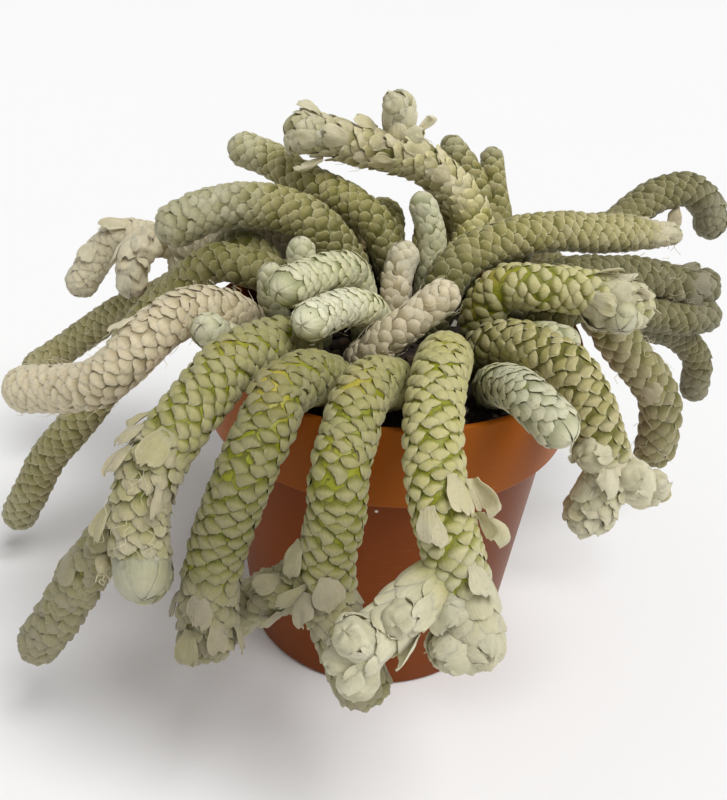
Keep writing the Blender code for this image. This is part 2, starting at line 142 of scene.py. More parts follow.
# Each stem: its girth, the points that its centre-line runs through from the soil to the tip, and the
# lobes that fork from it, each with a girth and points of its own. The first point is a place in the soil.
STEMS = {
    "stem_front_1": (9.2, (
        (9, -11), (8, -16, 63), (6, -25, 67), (5, -34, 67), (5, -41, 65), (6, -47, 61), (8, -50, 56),
        (10, -52, 51), (13, -55, 42)),
        (8.0, ((9, -51, 52), (3, -56, 48), (-2, -60, 45)))),
    "stem_front_2": (9.0, (
        (2, -14), (0, -20, 62), (-3, -27, 66), (-5, -34, 67), (-6, -40, 65), (-7, -45, 62), (-7, -47, 56),
        (-8, -48, 49), (-7, -49, 42), (-4, -51, 35), (-2, -52, 30)),
        (7.4, ((-8, -48, 48), (-13, -47, 43), (-19, -43, 36), (-22, -41, 31)))),
    "stem_front_3": (9.2, (
        (-9, -15), (-11, -20, 62), (-14, -27, 66), (-17, -34, 67), (-18, -39, 65), (-20, -43, 61),
        (-22, -45, 55), (-24, -46, 48), (-25, -48, 40), (-25, -49, 35))),
    "stem_front_4": (9.4, (
        (-15, -11), (-17, -16, 63), (-21, -24, 66), (-24, -30, 67), (-27, -36, 65), (-30, -40, 62),
        (-33, -43, 57), (-34, -45, 50), (-33, -47, 43)),
        (7.8, ((-33, -43, 56), (-39, -41, 46), (-44, -40, 38), (-49, -38, 28), (-54, -37, 19)))),
    "stem_left_1": (8.8, (
        (-20, -4), (-25, -8, 63), (-31, -12, 66), (-36, -16, 65), (-41, -19, 61), (-46, -19, 57),
        (-52, -16, 54), (-60, -12, 51))),
    "stem_left_2": (7.8, (
        (-14, 9), (-19, 10, 63), (-26, 11, 65), (-32, 12, 65), (-38, 12, 60), (-44, 11, 54), (-49, 9, 47),
        (-53, 7, 40), (-58, 6, 33), (-64, 6, 25), (-68, 6, 17), (-71, 6, 11))),
    "stem_left_3": (7.4, (
        (-20, 13), (-24, 16, 63), (-29, 20, 65), (-34, 26, 60), (-41, 32, 53), (-48, 36, 47),
        (-55, 40, 42), (-63, 42, 35), (-70, 42, 29), (-76, 40, 25))),
    "stem_left_4": (7.8, (
        (-14, 18), (-18, 22, 63), (-23, 26, 66), (-30, 31, 63), (-39, 37, 57), (-48, 42, 55),
        (-56, 44, 55), (-61, 44, 51), (-65, 42, 45)),
        (7.0, ((-44, 40, 56), (-50, 38, 53), (-51, 36, 49)))),
    "stem_left_5": (9.0, (
        (-6, 13), (-7, 14, 63), (-11, 15, 69), (-16, 17, 72), (-21, 18, 73), (-26, 18, 73), (-31, 18, 72),
        (-35, 17, 71), (-39, 16, 69))),
    "stem_left_6": (7.6, (
        (0, 16), (-1, 18, 64), (-4, 21, 69), (-9, 25, 71), (-14, 28, 72), (-19, 32, 73), (-25, 36, 75),
        (-30, 38, 76))),
    "stem_top_1": (8.2, (
        (9, 19), (12, 23, 64), (14, 26, 69), (12, 28, 73), (9, 29, 76), (4, 29, 80), (-2, 28, 82),
        (-8, 28, 83), (-13, 28, 84), (-18, 28, 85)),
        (6.4, ((0, 28, 81), (-1, 29, 86), (-1, 30, 90)))),
    "stem_top_2": (7.6, (
        (18, 17), (20, 22, 63), (22, 28, 66), (22, 34, 65), (22, 40, 61), (22, 45, 54), (21, 48, 46),
        (20, 50, 37)),
        (5.6, ((20, 31, 66), (17, 35, 70), (14, 39, 75), (10, 42, 79))),
        (5.2, ((21, 32, 66), (19, 37, 72), (18, 43, 77))),
        (7.0, ((22, 35, 65), (28, 40, 61), (33, 44, 54), (37, 47, 44), (39, 49, 33)))),
    "stem_right_1": (8.2, (
        (8, 2), (8, 3, 63), (9, 5, 67), (11, 8, 69), (15, 11, 71), (22, 15, 72), (30, 20, 71),
        (37, 24, 69), (43, 28, 68), (49, 31, 67), (54, 34, 66)),
        (7.6, ((30, 20, 71), (36, 27, 69), (42, 33, 68), (46, 37, 70), (50, 40, 72), (54, 42, 73),
               (58, 43, 73), (62, 43, 70), (63, 42, 67)))),
    "stem_right_2": (8.2, (
        (20, 7), (24, 10, 63), (29, 13, 66), (34, 17, 66), (39, 20, 65), (44, 23, 64), (50, 26, 62),
        (55, 28, 60), (60, 30, 59)),
        (7.2, ((32, 15, 65), (37, 15, 61), (43, 17, 58), (49, 21, 56), (56, 24, 54), (61, 26, 54))),
        (6.6, ((43, 18, 58), (50, 24, 52), (57, 29, 48), (63, 31, 42), (64, 31, 35)))),
    "stem_right_3": (8.4, (
        (14, -1), (14, -2, 65), (17, -2, 70), (22, -3, 71), (27, -3, 71), (32, -4, 71), (38, -5, 70))),
    "stem_right_4": (8.2, (
        (22, 1), (26, 3, 63), (32, 5, 66), (37, 6, 61), (42, 7, 55), (47, 7, 50), (50, 7, 45),
        (51, 7, 39), (51, 7, 35))),
    "stem_right_5": (8.0, (
        (13, -7), (14, -9, 63), (18, -13, 66), (22, -18, 67), (26, -22, 67), (29, -26, 64), (31, -29, 60),
        (33, -30, 55), (32, -31, 50), (31, -31, 47)),
        (7.0, ((32, -30, 56), (37, -28, 52), (40, -26, 49)))),
    "stem_right_6": (7.8, ((14, -15), (15, -21, 63), (17, -27, 66), (19, -32, 67), (22, -36, 66))),
    "stem_back_1": (8.6, (
        (5, 23), (6, 28, 63), (7, 33, 66), (8, 40, 64), (10, 46, 57), (11, 49, 47), (10, 51, 36),
        (8, 54, 26), (4, 59, 18))),
    "stem_back_2": (8.4, (
        (-2, 22), (-3, 27, 64), (-3, 33, 66), (-4, 41, 63), (-5, 47, 56), (-5, 50, 47), (-7, 53, 38)),
        (7.2, ((-5, 49, 48), (1, 54, 42), (4, 57, 37)))),
    "stem_back_3": (8.6, (
        (-8, 20), (-10, 25, 63), (-13, 31, 66), (-17, 38, 64), (-22, 44, 57), (-25, 48, 47),
        (-27, 50, 36), (-28, 53, 26))),
    "shoot_1": (7.4, ((-5, 2), (-6, 4, 64), (-8, 3, 69), (-11, -1, 71), (-14, -6, 72), (-17, -12, 73))),
    "shoot_2": (7.0, ((0, -5), (-3, -4, 64), (-5, -8, 67), (-8, -13, 69), (-12, -22, 71))),
    "shoot_3": (6.6, ((-6, -10), (-4, -12, 61), (-1, -12, 65), (3, -11, 68), (7, -9, 71))),
    "shoot_4": (6.2, ((2, 6), (1, 7, 63), (1, 9, 66), (2, 11, 69))),
    "shoot_5": (5.8, ((6, 12), (6, 14, 65), (6, 16, 71), (4, 18, 76))),
    "shoot_6": (5.6, ((19, -5), (19, -6, 62), (22, -8, 65), (26, -9, 65))),
    "shoot_7": (5.6, ((-13, 3), (-16, 5, 66), (-17, 6, 72))),
    "shoot_8": (5.0, ((-20, 3), (-22, 3, 63), (-22, 4, 68))),
    "shoot_9": (6.4, ((-22, -10), (-24, -12, 61), (-28, -16, 65), (-29, -18, 67))),
}

# A scale's skin is set out on one of these nets, in shares of its half width and of its length
PLAIN_NET = ((-1.0, -0.7, 0.0, 0.7, 1.0), (0.0, 0.3, 0.52, 0.74, 0.9, 1.0))
MID_NET = ((-1.0, -0.82, -0.44, 0.0, 0.44, 0.82, 1.0), (0.0, 0.26, 0.46, 0.64, 0.8, 0.92, 1.0))
LENS_NET = ((-1.0, -0.84, -0.42, 0.0, 0.42, 0.84, 1.0), (0.0, 0.27, 0.38, 0.5, 0.62, 0.82, 0.94, 1.0))
FINE_NET = ((-1.0, -0.92, -0.7, -0.42, -0.14, 0.14, 0.42, 0.7, 0.92, 1.0),
            (0.0, 0.14, 0.28, 0.42, 0.55, 0.68, 0.79, 0.88, 0.95, 1.0))
# A scale is narrow up to NARROW of its length, widest at WIDEST, free of the stem from FREE_FROM on, and
# its tip begins at TIP_FROM
NARROW = 0.12
FREE_FROM = 0.35
TIP_FROM = 0.6
WIDEST = 0.62
FOOT_SHARE = 0.81
BUD_SCALES = 5

# How unevenly scales lie: how much their rows wind, how they slant, and how their lengths and widths vary
WIND = 0.02
SLANT = 0.22
LENGTHS = (0.9, 1.12)
WIDTH_SPREAD = 0.2

# Where a stem bends over the rim its skin is stretched and its scales stand up. The crest runs from no
# stretch to full, and ends between two shares of the stem's length.
CREST_STRETCH = (1.14, 1.45)
CREST_END = (0.42, 0.56)
CREST_LIFT = 0.12
STRETCH_LIMITS = (0.55, 1.7)

# A scale that lies deeper than this in another lobe is left out
HIDDEN_DEPTH = 0.22

# The flesh under the scales, and the small papery parts
FLESH_SHARE = 0.82
FLESH_SIDES = 18
FLESH_STEP = 1.0
SKIN_STEP = 0.5
BEND_REACH = 5
PAPER = 0.12
FLAP_SHOULDER = 0.72
THREAD_SIDES = 5
THREAD_STEP = 0.25
THREAD_GIRTH = 0.16
HAIR_GIRTH = 0.085
FLOWER_RINGS = 11
FLOWER_SIDES = 12
FLOWER_THREADS = 6
CLOUD_RINGS = 16
CLOUD_SIDES = 26
LOOSE_SHEETS = 4

# Among the stems' feet the scales are painted darker: painted shade
NEST = (0.0, 0.0, 52.0)
NEST_REACH = (15.0, 30.0)
NEST_SHADE = 0.5

# How plain scales are shaped. Heights are in shares of the stem's radius.
PLAIN_COAT = {
    "size": 1.0, "cover": 1.36, "crown": 0.94, "tip": 0.925, "side": 0.045, "swirl": 0.01, "foot": 0.45,
    "point": 2.2, "lift": (-0.03, 0.07), "crumple": 0.007, "ragged": 0.03, "stray": 0.22, "slim": 0.86,
    "dry": (0.0, 0.35), "bud": 1.0, "rise": (0.05, 0.95), "bow": 0.0, "face": (0.3, 0.85),
    "net": PLAIN_NET,
}


def new_coat(**changes):
    """The shape of the scales of one kind of stem."""
    return SimpleNamespace(**{**PLAIN_COAT, **changes})


PLUMP = new_coat(cover=1.24, crown=0.96, tip=0.89, side=0.085, foot=0.5, point=1.7, lift=(-0.03, 0.08),
                 slim=0.83, rise=(0.25, 0.58), bow=0.13, face=(0.33, 0.72), net=LENS_NET)
PEBBLED = new_coat(size=0.95, cover=1.3, crown=0.96, tip=0.91, side=0.08, lift=(-0.02, 0.06), slim=0.9,
                   dry=(0.0, 0.3))
CLOSE = new_coat(size=0.88, cover=1.6, crown=0.915, tip=0.9, side=0.03, swirl=0.012, crumple=0.01,
                 ragged=0.05, lift=(-0.02, 0.03), stray=0.38, slim=0.88, bud=0.7, net=MID_NET)
FELTED = new_coat(size=0.95, cover=1.4, crown=0.95, tip=0.92, side=0.055, lift=(0.0, 0.08), crumple=0.012,
                  ragged=0.05, slim=0.92, dry=(0.1, 0.6))
WORN = new_coat(size=0.95, cover=1.5, crown=0.95, tip=0.94, side=0.05, lift=(0.0, 0.5), crumple=0.018,
                ragged=0.06, stray=0.45, dry=(0.25, 0.9), net=MID_NET)
PAPERY = new_coat(size=1.6, cover=1.55, crown=1.0, tip=0.97, side=0.09, swirl=0.03, foot=0.9, point=3.2,
                  lift=(-0.1, 0.4), crumple=0.022, ragged=0.02, stray=0.35, slim=0.95, dry=(0.6, 1.0),
                  net=FINE_NET)
PUFFY = new_coat(size=1.25, cover=1.4, crown=1.0, tip=0.92, side=0.15, swirl=0.02, foot=0.7, point=2.4,
                 lift=(-0.1, 0.12), crumple=0.012, ragged=0.02, stray=0.3, slim=0.95, dry=(0.1, 0.45),
                 rise=(0.15, 0.7), bow=0.08, net=MID_NET)
BUD = new_coat(crown=0.92, tip=0.93, side=0.03, swirl=0.04, foot=1.0, point=4.0, lift=(0.0, 0.0),
               crumple=0.008, ragged=0.01, dry=(0.1, 0.5), net=FINE_NET)
BALL = new_coat(size=2.0, cover=2.6, crown=1.0, tip=0.99, side=0.03, dry=(0.0, 0.3))

# The stems of each material, by how their names start. All others are grey-green.
YELLOW_GREEN = ("stem_front", "stem_right_3")
MINT = ("stem_right_6", "shoot_1", "shoot_2", "shoot_5", "shoot_6", "shoot_7", "shoot_8", "shoot_9")
BEIGE = ("stem_left_1", "stem_left_4", "shoot_3", "shoot_4")

# The coats of each stem's trunk and of its lobes in turn: a coat, then the share of the length where
# the next one starts, and so on. A trunk or lobe that isn't here is pebbled all along.
COATS = {
    "stem_front_1": ((PLUMP, 0.84, PAPERY), (PAPERY,)), "stem_front_2": ((PLUMP, 0.74, WORN), (WORN,)),
    "stem_front_3": ((PLUMP, 0.82, WORN),), "stem_front_4": ((PLUMP, 0.66, WORN, 0.9, CLOSE), (WORN,)),
    "stem_left_4": ((PEBBLED, 0.6, FELTED), (PAPERY,)), "stem_top_1": ((PEBBLED, 0.36, WORN), (PAPERY,)),
    "stem_right_1": ((PEBBLED, 0.86, WORN),), "stem_right_2": ((PEBBLED, 0.82, PUFFY),),
    "stem_right_3": ((PLUMP, 0.82, WORN),), "stem_right_4": ((PEBBLED, 0.42, PUFFY),),
    "stem_right_5": ((PLUMP, 0.78, WORN), (PAPERY,)), **dict.fromkeys(MINT, ((CLOSE,),)),
    **dict.fromkeys(("stem_left_1", "shoot_3", "shoot_4"), ((FELTED,),)),
}

# How light a trunk and its lobes in turn are, at the foot and at the tip, partly their own lightness and
# partly painted shade where they hang in shade, how dry each grows towards its tip, how much of a pale
# bloom its tip has, and where that bloom starts. A lobe that isn't here is as its trunk.
TONES_AND_SHADE = {
    "stem_front_1": ((0.84, 0.84, 0.1, 0.7, 0.7), (0.9, 0.95, 0.2, 0.75, 0.2)),
    "stem_front_2": ((0.75, 0.5, 0.1, 0.0, 0.9), (0.46, 0.53, 0.2, 0.0, 0.9)),
    "stem_front_3": ((0.6, 0.41, 0.1, 0.0, 0.9),),
    "stem_front_4": ((0.6, 0.68, 0.1, 0.6, 0.85), (0.52, 0.47, 0.1, 0.0, 0.9)),
    "stem_left_1": ((0.95, 1.0, 0.3, 0.2, 0.9),), "stem_left_2": ((0.69, 0.78, 0.2, 0.6, 0.88),),
    "stem_left_3": ((0.75, 0.75, 0.3, 0.2, 0.9),),
    "stem_left_4": ((0.8, 0.9, 0.5, 0.3, 0.7), (0.9, 0.95, 0.3, 0.2, 0.5)),
    "stem_left_5": ((0.7, 0.88, 0.0, 0.65, 0.6),), "stem_left_6": ((0.75, 1.0, 0.0, 0.65, 0.8),),
    "stem_top_1": ((1.4, 0.95, 0.15, 0.4, 0.8), (1.0, 1.0, 0.4, 0.5, 0.5)),
    "stem_top_2": ((0.8, 0.8, 0.0, 0.4, 0.8),),
    "stem_right_1": ((0.88, 0.92, 0.3, 0.4, 0.9), (0.56, 0.48, 0.1, 0.6, 0.75)),
    "stem_right_2": ((0.39, 0.43, 0.2, 0.5, 0.8),), "stem_right_3": ((0.8, 0.9, 0.2, 0.5, 0.8),),
    "stem_right_4": ((0.74, 0.66, 0.2, 0.0, 0.9),),
    "stem_right_5": ((1.0, 0.95, 0.3, 0.5, 0.7), (0.9, 1.0, 0.2, 0.6, 0.3)),
    "stem_right_6": ((0.85, 1.0, 0.0, 0.6, 0.5),), "shoot_2": ((1.2, 1.3, 0.0, 0.75, 0.5),),
    "shoot_3": ((0.9, 0.99, 0.1, 0.0, 0.9),), "shoot_1": ((0.92, 1.08, 0.0, 0.4, 0.8),),
}
PLAIN_TONE = (0.9, 1.0, 0.1, 0.5, 0.75)
THREAD_TONE = (1.0, 1.0, 0.0, 0.0, 1.0)

# Papery puffs of each stem: the lobe, the distance along it, how far the puff reaches from there, its
# girth, and its coat. One without a coat is a crumpled ball with loose sheets.
PUFFS = {
    "stem_front_1": (
        (1, 15.8, (-1.6, -2.0, 3.2), 6.2), (1, 15.8, (-2.8, -1.2, -1.2), 5.8),
        (1, 15.8, (-0.6, -1.2, -5.2), 6.2), (1, 9.0, (-0.6, -3.4, 1.6), 5.4),
        (0, 69.0, (-2.8, -1.6, -0.5), 7.6), (0, 68.0, (0.8, -1.6, -0.2), 7.0),
        (0, 63.5, (-1.8, -1.6, 0.6), 6.2)),
    "stem_front_4": ((0, 63.6, (0.3, -1.5, -0.9), 10.0, BALL),),
    "stem_right_5": (
        (1, 11.0, (1.6, -0.4, 0.8), 5.8), (1, 6.0, (0.4, -1.6, 0.4), 5.4),
        (0, 54.0, (1.2, 0.6, -0.6), 6.6), (0, 43.0, (-2.0, -1.6, 0.2), 6.4),
        (0, 46.0, (2.6, -1.8, 0.0), 5.2)),
    "stem_left_4": (
        (1, 10.4, (0.0, -0.8, -3.4), 7.2), (1, 4.0, (-0.8, -1.6, -0.6), 7.4),
        (0, 49.0, (0.2, -1.8, -5.6), 5.0)),
    "stem_right_3": ((0, 34.6, (0.4, -1.2, -1.0), 8.2), (0, 38.2, (-0.4, -2.6, -1.0), 7.4, PUFFY)),
    "stem_top_1": (
        (0, 56.5, (0.6, -1.8, 0.3), 5.2, BALL), (0, 59.0, (-0.8, -1.2, -1.4), 5.6),
        (1, 8.0, (-1.0, -2.0, 2.2), 4.8), (1, 4.0, (2.6, -2.0, 0.6), 4.2)),
}

# Stems whose trunks grow thinner towards the tip: where that starts, and how thin the tip is
TAPERS = {"stem_right_1": (58.0, 0.55)}
NO_TAPER = (0.0, 1.0)

# A stem's dried flower: the lobe, the distance along it, the way it faces, and its size
FLOWERS = {
    "stem_right_1": (1, 34.6, (-0.2, -0.5, -0.9), 1.35), "stem_front_4": (1, 14.0, (0.2, -0.9, 0.3), 1.0),
    "stem_left_4": (1, 3.0, (0.2, -0.7, 0.7), 0.6), "stem_right_3": (0, 39.8, (0.9, -0.3, 0.1), 0.7),
    "stem_back_1": (0, 38.0, (0.4, 0.9, 0.2), 0.9), "stem_top_1": (1, 5.0, (0.9, -0.3, 0.1), 0.7),
}

# Loose hairs on a stem's trunk: the shares of its length between which they lie, and how many
HAIRS = {
    "stem_left_1": (0.2, 1.0, 60), "stem_right_3": (0.86, 1.0, 30), "stem_right_4": (0.5, 1.0, 30),
    "shoot_3": (0.4, 1.0, 14), "shoot_2": (0.5, 1.0, 14), "shoot_1": (0.5, 1.0, 14),
    "stem_left_4": (0.5, 1.0, 24), "stem_right_2": (0.7, 1.0, 24), "stem_front_4": (0.7, 0.9, 20),
    "stem_top_1": (0.5, 1.0, 30), "stem_left_3": (0.4, 1.0, 24), "stem_right_1": (0.8, 1.0, 16),
}

# Loose papery flaps of each stem: the lobe, the distance along it, the turn round it, the flap's length
# and width, how far its tip lifts, and how far it stands out sideways, from 0 to 1
FLAPS = {
    "stem_front_1": (
        (0, 46.5, 4.9, 5.0, 4.2, 0.6, 0.9), (0, 51.5, 4.8, 4.4, 3.6, 0.6, 0.9),
        (0, 46.0, 5.6, 4.6, 4.8, 0.7, 0.1), (0, 49.0, 0.4, 4.0, 4.4, 0.8, 0.1),
        (0, 57.0, 5.7, 4.2, 4.6, 1.2, 0.1), (0, 60.0, 0.7, 5.0, 5.6, 1.2, 0.2),
        (1, 5.0, 3.3, 5.0, 5.5, 1.0, 0.2), (1, 9.5, 2.2, 5.0, 5.5, 1.2, 0.2)),
    "stem_front_2": (
        (0, 51.0, 0.7, 4.5, 4.6, 1.0, 0.3), (0, 54.0, 5.6, 5.0, 5.5, 0.9, 0.1),
        (0, 57.0, 0.2, 4.5, 4.6, 1.2, 0.2), (1, 2.0, 3.4, 4.5, 4.6, 1.3, 0.4),
        (1, 5.5, 4.2, 4.2, 4.2, 1.2, 0.3), (1, 9.0, 2.8, 4.2, 4.0, 1.2, 0.3)),
    "stem_front_3": (
        (0, 58.5, 5.6, 4.5, 4.0, 0.9, 0.0), (0, 61.0, 0.9, 4.2, 3.6, 1.2, 0.3),
        (0, 62.5, 5.0, 4.6, 4.0, 0.9, 0.2), (0, 64.5, 5.9, 5.0, 4.4, 0.9, 0.2),
        (0, 64.0, 4.2, 4.6, 3.6, 1.2, 0.3)),
    "stem_front_4": (
        (0, 43.5, 0.7, 3.6, 3.2, 1.2, 0.4), (0, 45.5, 0.2, 3.6, 3.4, 1.2, 0.3),
        (0, 48.5, 0.0, 3.6, 3.0, 1.2, 0.4), (0, 44.5, 5.4, 4.6, 4.8, 1.1, 0.1),
        (0, 50.5, 4.7, 4.5, 4.0, 1.2, 0.4), (0, 56.0, 0.2, 4.5, 4.2, 1.4, 0.3),
        (1, 18.0, 4.2, 5.5, 5.5, 0.5, 0.0), (1, 8.0, 3.6, 4.5, 4.0, 1.2, 0.3)),
    "stem_right_3": (
        (0, 35.4, 0.2, 3.4, 4.4, 1.0, 0.0), (0, 35.8, 1.1, 3.2, 4.4, 1.2, 0.0),
        (0, 35.2, 2.1, 3.5, 4.6, 1.0, 0.0), (0, 35.8, 3.0, 3.3, 4.2, 1.2, 0.0),
        (0, 35.3, 3.9, 3.4, 4.6, 1.0, 0.0), (0, 35.8, 4.9, 3.2, 4.2, 1.1, 0.0),
        (0, 35.4, 5.7, 3.4, 4.2, 1.2, 0.0), (0, 33.0, 1.4, 3.4, 4.0, 1.2, 0.3),
        (0, 33.2, 2.7, 3.4, 4.2, 1.2, 0.2)),
    "stem_right_1": (
        (0, 64.0, 4.2, 4.0, 4.0, 0.8, 0.0), (0, 66.0, 3.4, 4.2, 4.4, 0.7, 0.0),
        (0, 67.0, 2.4, 4.0, 4.0, 0.8, 0.0)),
    "stem_right_2": (
        (0, 50.5, 3.1, 3.4, 4.4, 0.9, 0.0), (0, 50.0, 2.0, 3.4, 4.4, 0.9, 0.0),
        (0, 50.2, 4.2, 3.4, 4.4, 0.9, 0.0)),
    "stem_top_1": (
        (0, 31.0, 2.8, 4.0, 4.4, 0.9, 0.2), (0, 37.0, 3.5, 4.4, 4.6, 0.9, 0.1),
        (0, 42.0, 2.4, 4.2, 4.0, 1.1, 0.2), (0, 46.0, 4.2, 4.4, 4.6, 1.0, 0.2),
        (0, 51.0, 3.0, 4.4, 5.0, 1.0, 0.2), (0, 54.5, 1.6, 4.2, 3.0, 2.4, 0.8),
        (0, 56.0, 2.6, 4.0, 4.6, 1.2, 0.2), (0, 56.5, 4.4, 4.0, 4.4, 1.2, 0.2),
        (1, 4.0, 4.7, 4.0, 3.2, 1.8, 0.8), (1, 6.0, 2.6, 3.4, 3.4, 1.0, 0.2)),
    "stem_left_4": (
        (0, 60.0, 3.3, 3.6, 3.6, 1.0, 0.3), (0, 67.0, 3.0, 4.2, 4.4, 0.6, 0.0),
        (1, 4.5, 3.8, 5.0, 5.4, 0.8, 0.0), (1, 6.0, 2.6, 4.6, 5.4, 0.9, 0.1),
        (1, 7.0, 5.0, 4.6, 5.4, 0.9, 0.1)),
    "stem_right_5": (
        (0, 40.0, 2.3, 4.6, 5.6, 0.9, 0.0), (0, 44.0, 1.6, 4.4, 4.6, 0.8, 0.2),
        (0, 47.5, 2.6, 4.5, 4.6, 0.8, 0.0), (1, 3.0, 2.4, 4.5, 4.8, 0.9, 0.1)),
    "stem_left_1": ((0, 30.0, 5.8, 3.6, 3.6, 0.7, 0.2),),
    "stem_right_4": ((0, 39.5, 3.84, 5.0, 4.6, 0.2, 0.0),),
}


def slot_of(stem):
    """The record's material slot for a stem."""
    for slot, names in (("yellow_green", YELLOW_GREEN), ("mint", MINT), ("beige", BEIGE)):
        if stem.startswith(names):
            return "scales_" + slot
    return "scales_grey_green"


# Centre-lines

def hole_radius():
    """The corner radius of a hole in the soil whose flats stay clear of the root."""
    return (ROOT_RADIUS + SEAT) / math.cos(math.pi / HOLE_SIDES)


def smooth_line(points, step):
    """Places about a step apart along a smooth curve through these points."""
    p = np.array(points, float)
    p = np.vstack((2 * p[0] - p[1], p, 2 * p[-1] - p[-2]))
    t = np.linspace(0, 1, CURVE_STEPS + 1)[:-1, None]
    parts = []
    for a, b, c, d in zip(p, p[1:], p[2:], p[3:]):
        bend = (2 * a - 5 * b + 4 * c - d) * t ** 2 + (3 * b - a - 3 * c + d) * t ** 3
        parts.append(0.5 * (2 * b + (c - a) * t + bend))
    fine = np.vstack(parts + [p[-2][None]])
    lengths = np.linalg.norm(np.diff(fine, axis=0), axis=1)
    along = np.concatenate(([0.0], np.cumsum(lengths)))
    at = np.linspace(0, along[-1], max(3, int(round(along[-1] / step)) + 1))
    return np.stack([np.interp(at, along, fine[:, k]) for k in range(3)], 1)


def centre_lines():
    """(stem name, girth, line, whether it has a root) for each stem and each of its lobes."""
    rows = []
    for name, (girth, points, *lobes) in STEMS.items():
        upright = ((*points[0], ROOT_END), (*points[0], SOIL_TOP + ROOT_STAND))
        rows.append((name, girth, smooth_line(upright + points[1:], STEP), True))
        rows += [(name, lobe_girth, smooth_line(lobe, STEP), False) for lobe_girth, lobe in lobes]
    return rows


def reach_at(along, girth, rooted):
    """The radius at a distance along a stem. A rooted one starts slim and swells above the soil."""
    if not rooted:
        return np.full_like(along, girth / 2)
    return np.minimum(girth / 2, ROOT_RADIUS + SWELL * np.clip(along - UPRIGHT, 0, None))


def wall_radius(height):
    """The pot's outside radius at a height."""
    ledge = POT_HEIGHT - COLLAR_HEIGHT
    return np.interp(height, (0.0, ledge, ledge + 0.1, POT_HEIGHT),
                     (BASE_RADIUS, NECK_RADIUS, COLLAR_FOOT_RADIUS, RIM_RADIUS))


def bend_clear(rows):
    """The lines, bent just enough that no stem meets another, the rim, the pot's wall, the soil or the
    floor. Each round pushes near places apart and spreads the moves along their lines."""
    names = list(STEMS)
    owner = np.concatenate([[names.index(row[0])] * len(row[2]) for row in rows])
    line_of = np.concatenate([[i] * len(row[2]) for i, row in enumerate(rows)])
    home = np.vstack([row[2] for row in rows])
    along = [np.arange(len(row[2])) * STEP for row in rows]
    reach = np.concatenate([reach_at(at, row[1], row[3]) for at, row in zip(along, rows)])
    buried = np.concatenate([row[3] & (at <= UPRIGHT + 0.5) for at, row in zip(along, rows)])
    room = np.where(buried, hole_radius(), reach)
    index = np.arange(len(home))
    first = np.flatnonzero(np.diff(line_of, prepend=-1))
    last = np.append(first[1:] - 1, len(home) - 1)
    before = index - 1
    after = index + 1
    before[first] = first
    after[last] = last
    one, two = np.triu_indices(len(home), 1)
    strangers = owner[one] != owner[two]
    one = one[strangers]
    two = two[strangers]
    wanted = room[one] + room[two] + GAP
    place = home.copy()
    for turn in range(BEND_ROUNDS):
        if turn % LIST_ROUNDS == 0:
            close = np.linalg.norm(place[one] - place[two], axis=1) < wanted + LIST_REACH
            a, b, want = one[close], two[close], wanted[close]
        away = place[a] - place[b]
        distance = np.linalg.norm(away, axis=1) + TINY
        force = away * (np.clip(want - distance, 0, None) / distance)[:, None] * PUSH_SHARE
        push = np.stack([np.bincount(a, force[:, k], len(home)) - np.bincount(b, force[:, k], len(home))
                         for k in range(3)], 1)
        push *= np.minimum(1, LONGEST_PUSH / (np.linalg.norm(push, axis=1)[:, None] + TINY))
        move = place + push - home
        ease = EASE if turn < EASED_ROUNDS else 1.0
        place = home + ease * (0.5 * move + 0.25 * (move[before] + move[after]))
        keep_off_pot(place, reach, buried)
        settle_roots(place, home, line_of, buried)
    return [place[line_of == i] for i in range(len(rows))]


def keep_off_pot(place, reach, buried):
    """Moves places off the rim, out of the wall, up from the soil and up from the floor."""
    rim_radius = RIM_RADIUS - LIP_IN
    rim_height = POT_HEIGHT - LIP_DOWN
    from_axis = np.hypot(place[:, 0], place[:, 1]) + TINY
    out = place[:, :2] / from_axis[:, None]
    over = np.stack([from_axis - rim_radius, place[:, 2] - rim_height], 1)
    distance = np.hypot(over[:, 0], over[:, 1]) + TINY
    lack = np.clip(reach + LIP_REACH + GAP - distance, 0, None) * ~buried
    place[:, :2] += out * (over[:, 0] / distance * lack)[:, None]
    place[:, 2] += over[:, 1] / distance * lack
    outside = (from_axis > rim_radius) & (place[:, 2] < rim_height)
    lack = np.clip(wall_radius(place[:, 2]) + reach + GAP - from_axis, 0, None) * outside
    place[:, :2] += out * lack[:, None]
    lowest = np.where(from_axis < rim_radius, SOIL_TOP + reach + GAP, reach + FLOOR_GAP)
    place[:, 2] = np.where(buried, place[:, 2], np.maximum(place[:, 2], lowest))


def settle_roots(place, home, line_of, buried):
    """Keeps each root upright in its hole, within the soil's flat top."""
    for i in np.unique(line_of[buried]):
        root = (line_of == i) & buried
        centre = place[root, :2].mean(0)
        centre *= min(1, ROOT_REACH / np.hypot(*centre))
        place[root, :2] = centre
        place[root, 2] = home[root, 2]


def frames_along(line):
    """Two unit vectors square to the line at each place, carried along it without twist."""
    tangent = np.gradient(line, axis=0)
    tangent /= np.linalg.norm(tangent, axis=1)[:, None]
    side = Vector((0.0, 1.0, 0.0)) if abs(tangent[0][1]) < 0.9 else Vector((1.0, 0.0, 0.0))
    sides = []
    for along in map(Vector, tangent):
        side = (side - along * side.dot(along)).normalized()
        sides.append(side)
    sides = np.array(sides)
    return tangent, sides, np.cross(tangent, sides)


# Meshes

